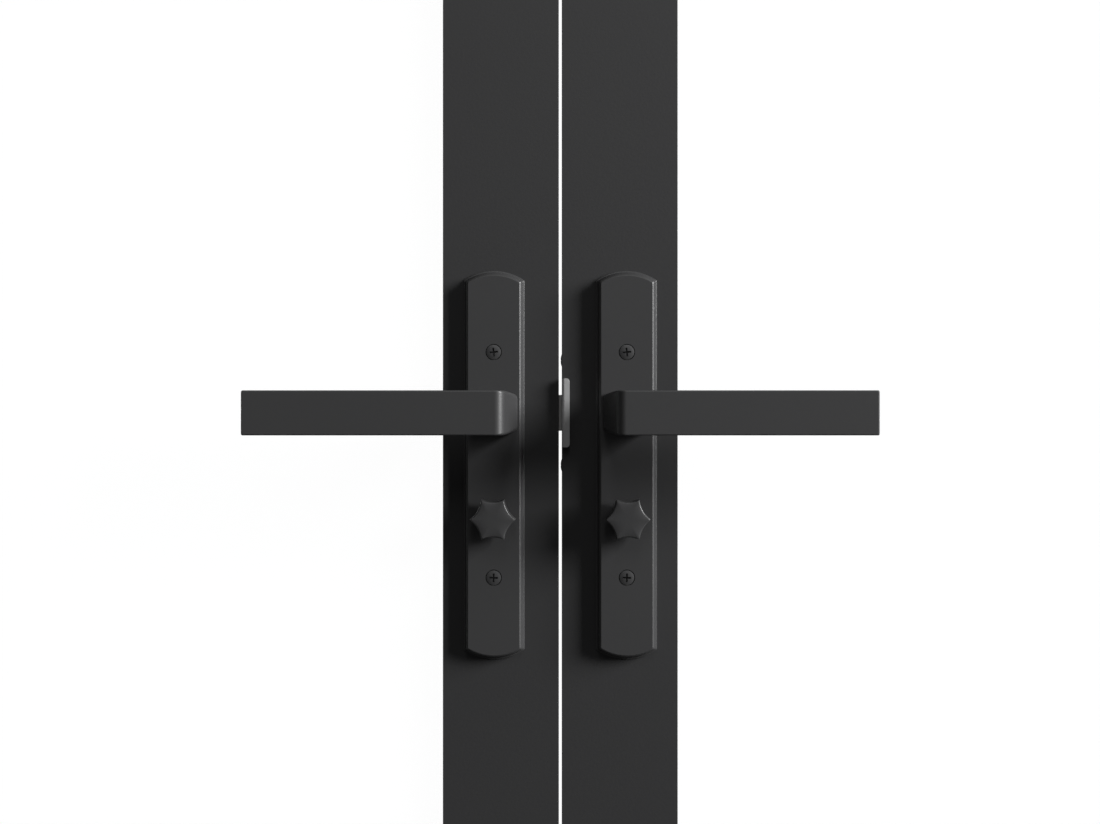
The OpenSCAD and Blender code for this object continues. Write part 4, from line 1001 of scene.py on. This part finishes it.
def star_reach(turn, radius):
    """Distance from the axis to the star's outline, with its points a little blunted."""
    hollow = STAR_HOLLOW * radius
    far = radius * math.cos(math.radians(30)) - STAR_WAIST * radius + hollow
    off = turn % math.radians(60) - math.radians(30)
    reach = far * math.cos(off) - math.sqrt(hollow * hollow - (far * math.sin(off)) ** 2)
    blunt = BLUNT * radius
    soft = BLUNT_SOFT * radius
    gap = max(soft - abs(reach - blunt), 0.0) / soft
    return min(reach, blunt) - gap * gap * soft / 4


for side in ("left", "right"):
    low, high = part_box(f"{side}_star_turn")
    centre = ((low.x + high.x) / 2, (low.z + high.z) / 2)
    radius = (high.x - low.x) / 2
    foot = high.y - RUNNING_GAP
    star_back = high.y - COLLAR_H
    layers = [(COLLAR_R - COLLAR_EDGE, foot), (COLLAR_R, foot - COLLAR_EDGE), (COLLAR_R, star_back)]
    rings = turned(layers, centre, STAR_POINTS)
    rim = low.y + PILLOW
    shape = [(0.0009, star_back), (0.00025, star_back - 0.0003), (0.0, star_back - 0.0009)]
    shape.append((0.0, rim + STAR_ROUND))
    for k in range(1, 6):
        turn = math.pi / 2 * k / 5
        shape.append((STAR_ROUND * (1 - math.cos(turn)), rim + STAR_ROUND * (1 - math.sin(turn))))
    for inset, y in shape:
        ring = []
        for k in range(STAR_POINTS):
            turn = 2 * math.pi * k / STAR_POINTS
            reach = star_reach(turn, radius) - inset
            ring.append((centre[0] + reach * math.cos(turn), y, centre[1] + reach * math.sin(turn)))
        rings.append(ring)
    for share in (0.93, 0.84, 0.72, 0.58, 0.42, 0.26, 0.1):
        ring = []
        for k in range(STAR_POINTS):
            turn = 2 * math.pi * k / STAR_POINTS
            edge = star_reach(turn, radius) - STAR_ROUND
            reach = share * (edge * share + FACE_SPREAD * radius * (1 - share))
            y = rim - PILLOW * (1 - share**3)
            ring.append((centre[0] + reach * math.cos(turn), y, centre[1] + reach * math.sin(turn)))
        rings.append(ring)
    name = f"{side}_star_casting"
    made = finished(name, skin(rings), handle_coat, f"{side}_turn", sharp=60.0)
    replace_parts(made, f"{side}_star_turn")
retouch(steel, "left_turn_crank", "right_turn_crank")


# ---------------------------------------------------------------- left lock
# A zinc-plated case behind a steel forend strip, with a nickelled latch, a coated deadbolt that
# the star turn throws, the follower on the spindle, its return spring and a keyed cylinder.

for name in ("left_lock_case", "left_key_cylinder"):
    dressed(name, zinc, radius=0.0003, edge=0.0009)
dressed("left_forend", steel, radius=0.0002)
coated_steel = Finish("coated_steel", Metallic=0.35, Specular_IOR_Level=0.6)
brush = coated_steel.noise(1300.0)
coated_steel.feed(
    Base_Color=coated_steel.blend(brush, (0.43, 0.43, 0.432), (0.50, 0.50, 0.502)),
    Roughness=0.3 + 0.12 * brush,
)
coated_steel.relief(brush, 0.00002, 0.3)
nickel = Finish("nickel", Metallic=0.3, Specular_IOR_Level=0.6)
polish = nickel.noise(1500.0)
nickel.feed(
    Base_Color=nickel.blend(polish, (0.72, 0.72, 0.71), (0.80, 0.80, 0.79)),
    Roughness=0.32 + 0.1 * polish,
)
dressed("left_latch_bolt", nickel, radius=0.0005, edge=0.003)
dressed("left_deadbolt", coated_steel, radius=0.0004, edge=0.003)
retouch(steel, "left_follower", "left_return_spring")


# ---------------------------------------------------------------- strike plate
# A pressed strike with a light coat, let into the right leaf's edge, with a hole for the latch,
# two dark round-headed screws and a lip that curls out over the leaf's face.

STRIKE_T = 0.002
LIP_T = 0.0015
LIP_BEND = 0.0018
LIP_CORNER = 0.0019
LIP_HEIGHT = 0.0414
LIP_REACH = 0.0047
STRIKE_FRONT = 0.003  # of the flat part, from the leaf's front
LIP_FOOT = 0.001  # how far the lip runs into the flat part
FLAT_CORNER = 0.0006
LATCH_HOLE = (0.014, 0.025)
HOLE_CORNER = 0.001
SINK_R = 0.0041
SINK_DEPTH = 0.0021
STRIKE_DOME = 0.0007

low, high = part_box("right_strike_plate")
edge_x, lip_front = low.x, low.y


def strike_block(x, y, z, corner):
    """A flat block with rounded corners, seen from the leaf's edge."""
    ring = []
    for cy, cz, start in ((y[1], z[1], 0), (y[0], z[1], 90), (y[0], z[0], 180), (y[1], z[0], 270)):
        for k in range(5):
            turn = math.radians(start + 22.5 * k)
            inner_y = cy - corner if start in (0, 270) else cy + corner
            inner_z = cz - corner if start in (0, 90) else cz + corner
            ring.append((inner_y + corner * math.cos(turn), inner_z + corner * math.sin(turn)))
    return skin([[(along, py, pz) for py, pz in ring] for along in x])


def lip_ring(end, z):
    """Section of the lip at a height: out along the edge, round the bend and over the face."""
    bend_x, bend_y = edge_x + LIP_BEND, lip_front + LIP_BEND
    foot_y = leaf_front + STRIKE_FRONT + LIP_FOOT
    points = [(edge_x, foot_y)]
    for k in range(9):
        turn = math.radians(180 + 90 * k / 8)
        points.append((bend_x + LIP_BEND * math.cos(turn), bend_y + LIP_BEND * math.sin(turn)))
    points += [(end, lip_front), (end, lip_front + LIP_T)]
    for k in range(8, -1, -1):
        turn = math.radians(180 + 90 * k / 8)
        inner = LIP_BEND - LIP_T
        points.append((bend_x + inner * math.cos(turn), bend_y + inner * math.sin(turn)))
    points.append((edge_x + LIP_T, foot_y))
    return [(px, py, z) for px, py in points]


flat_y = (leaf_front + STRIKE_FRONT, high.y)
body = strike_block((edge_x, edge_x + STRIKE_T), flat_y, (low.z, high.z), FLAT_CORNER)
strike = finished("strike_pressing", body, coated_steel, "right_leaf")
rings = []
for way in (-1, 1):
    turns = [math.pi / 2 * k / 6 for k in range(7)]
    for turn in reversed(turns) if way < 0 else turns:
        z = lever_z + way * (LIP_HEIGHT / 2 - LIP_CORNER * (1 - math.sin(turn)))
        rings.append(lip_ring(edge_x + LIP_REACH - LIP_CORNER * (1 - math.cos(turn)), z))
tools = [("UNION", skin(rings))]
middle_y = (leaf_front + leaf_back) / 2
through = (edge_x - CUT_PAST, edge_x + STRIKE_T + CUT_PAST)
hole_y = (middle_y - LATCH_HOLE[0] / 2, middle_y + LATCH_HOLE[0] / 2)
hole_z = (lever_z - LATCH_HOLE[1] / 2, lever_z + LATCH_HOLE[1] / 2)
tools.append(("DIFFERENCE", strike_block(through, hole_y, hole_z, HOLE_CORNER)))
strike_screws = [place for place in screw_places("right_screws") if place[0][0] < edge_x + STRIKE_T]
for (_, y, z), _ in strike_screws:
    cone = [(SINK_R, edge_x - CUT_PAST), (SINK_R, edge_x + 0.0001)]
    cone += [(0.002, edge_x + SINK_DEPTH), (0.002, edge_x + 0.004)]
    rings = [[(px, y + c, z + d) for c, _, d in turned([(r, 0.0)], (0.0, 0.0))[0]] for r, px in cone]
    tools.append(("DIFFERENCE", skin(rings)))
proud = [((edge_x, y, z), (-1.0, 0.0, 0.0)) for (_, y, z), _ in strike_screws]
domed = dict(WOOD_SCREW, Dome=STRIKE_DOME)
screws("strike_screws", proud, domed, handle_coat, "handle_coat", "right_leaf")
cut_with(strike, *tools)
edge = strike.modifiers.new("edge", "BEVEL")
edge.width = 0.0002
edge.segments = 2
edge.limit_method = "ANGLE"
edge.angle_limit = math.radians(50)
even_shade(strike)
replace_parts(strike, "right_strike_plate")


# ---------------------------------------------------------------- shoot bolts
# Inside the right leaf a hub with two cranks drives flat steel rods that end in round bolts, and
# the star turn's slide locks them. Thin steel keeps guide the bolts' ends in the head and sill.

dressed("right_gear_case", zinc, radius=0.0003)
dressed("right_top_rod", steel, radius=0.0003)
dressed("right_bottom_rod", steel, radius=0.0003)
dressed("shoot_bolt_keeps", steel, radius=0.0002)
retouch(steel, "right_shoot_hub", "right_lock_slide")

bpy.context.view_layer.update()
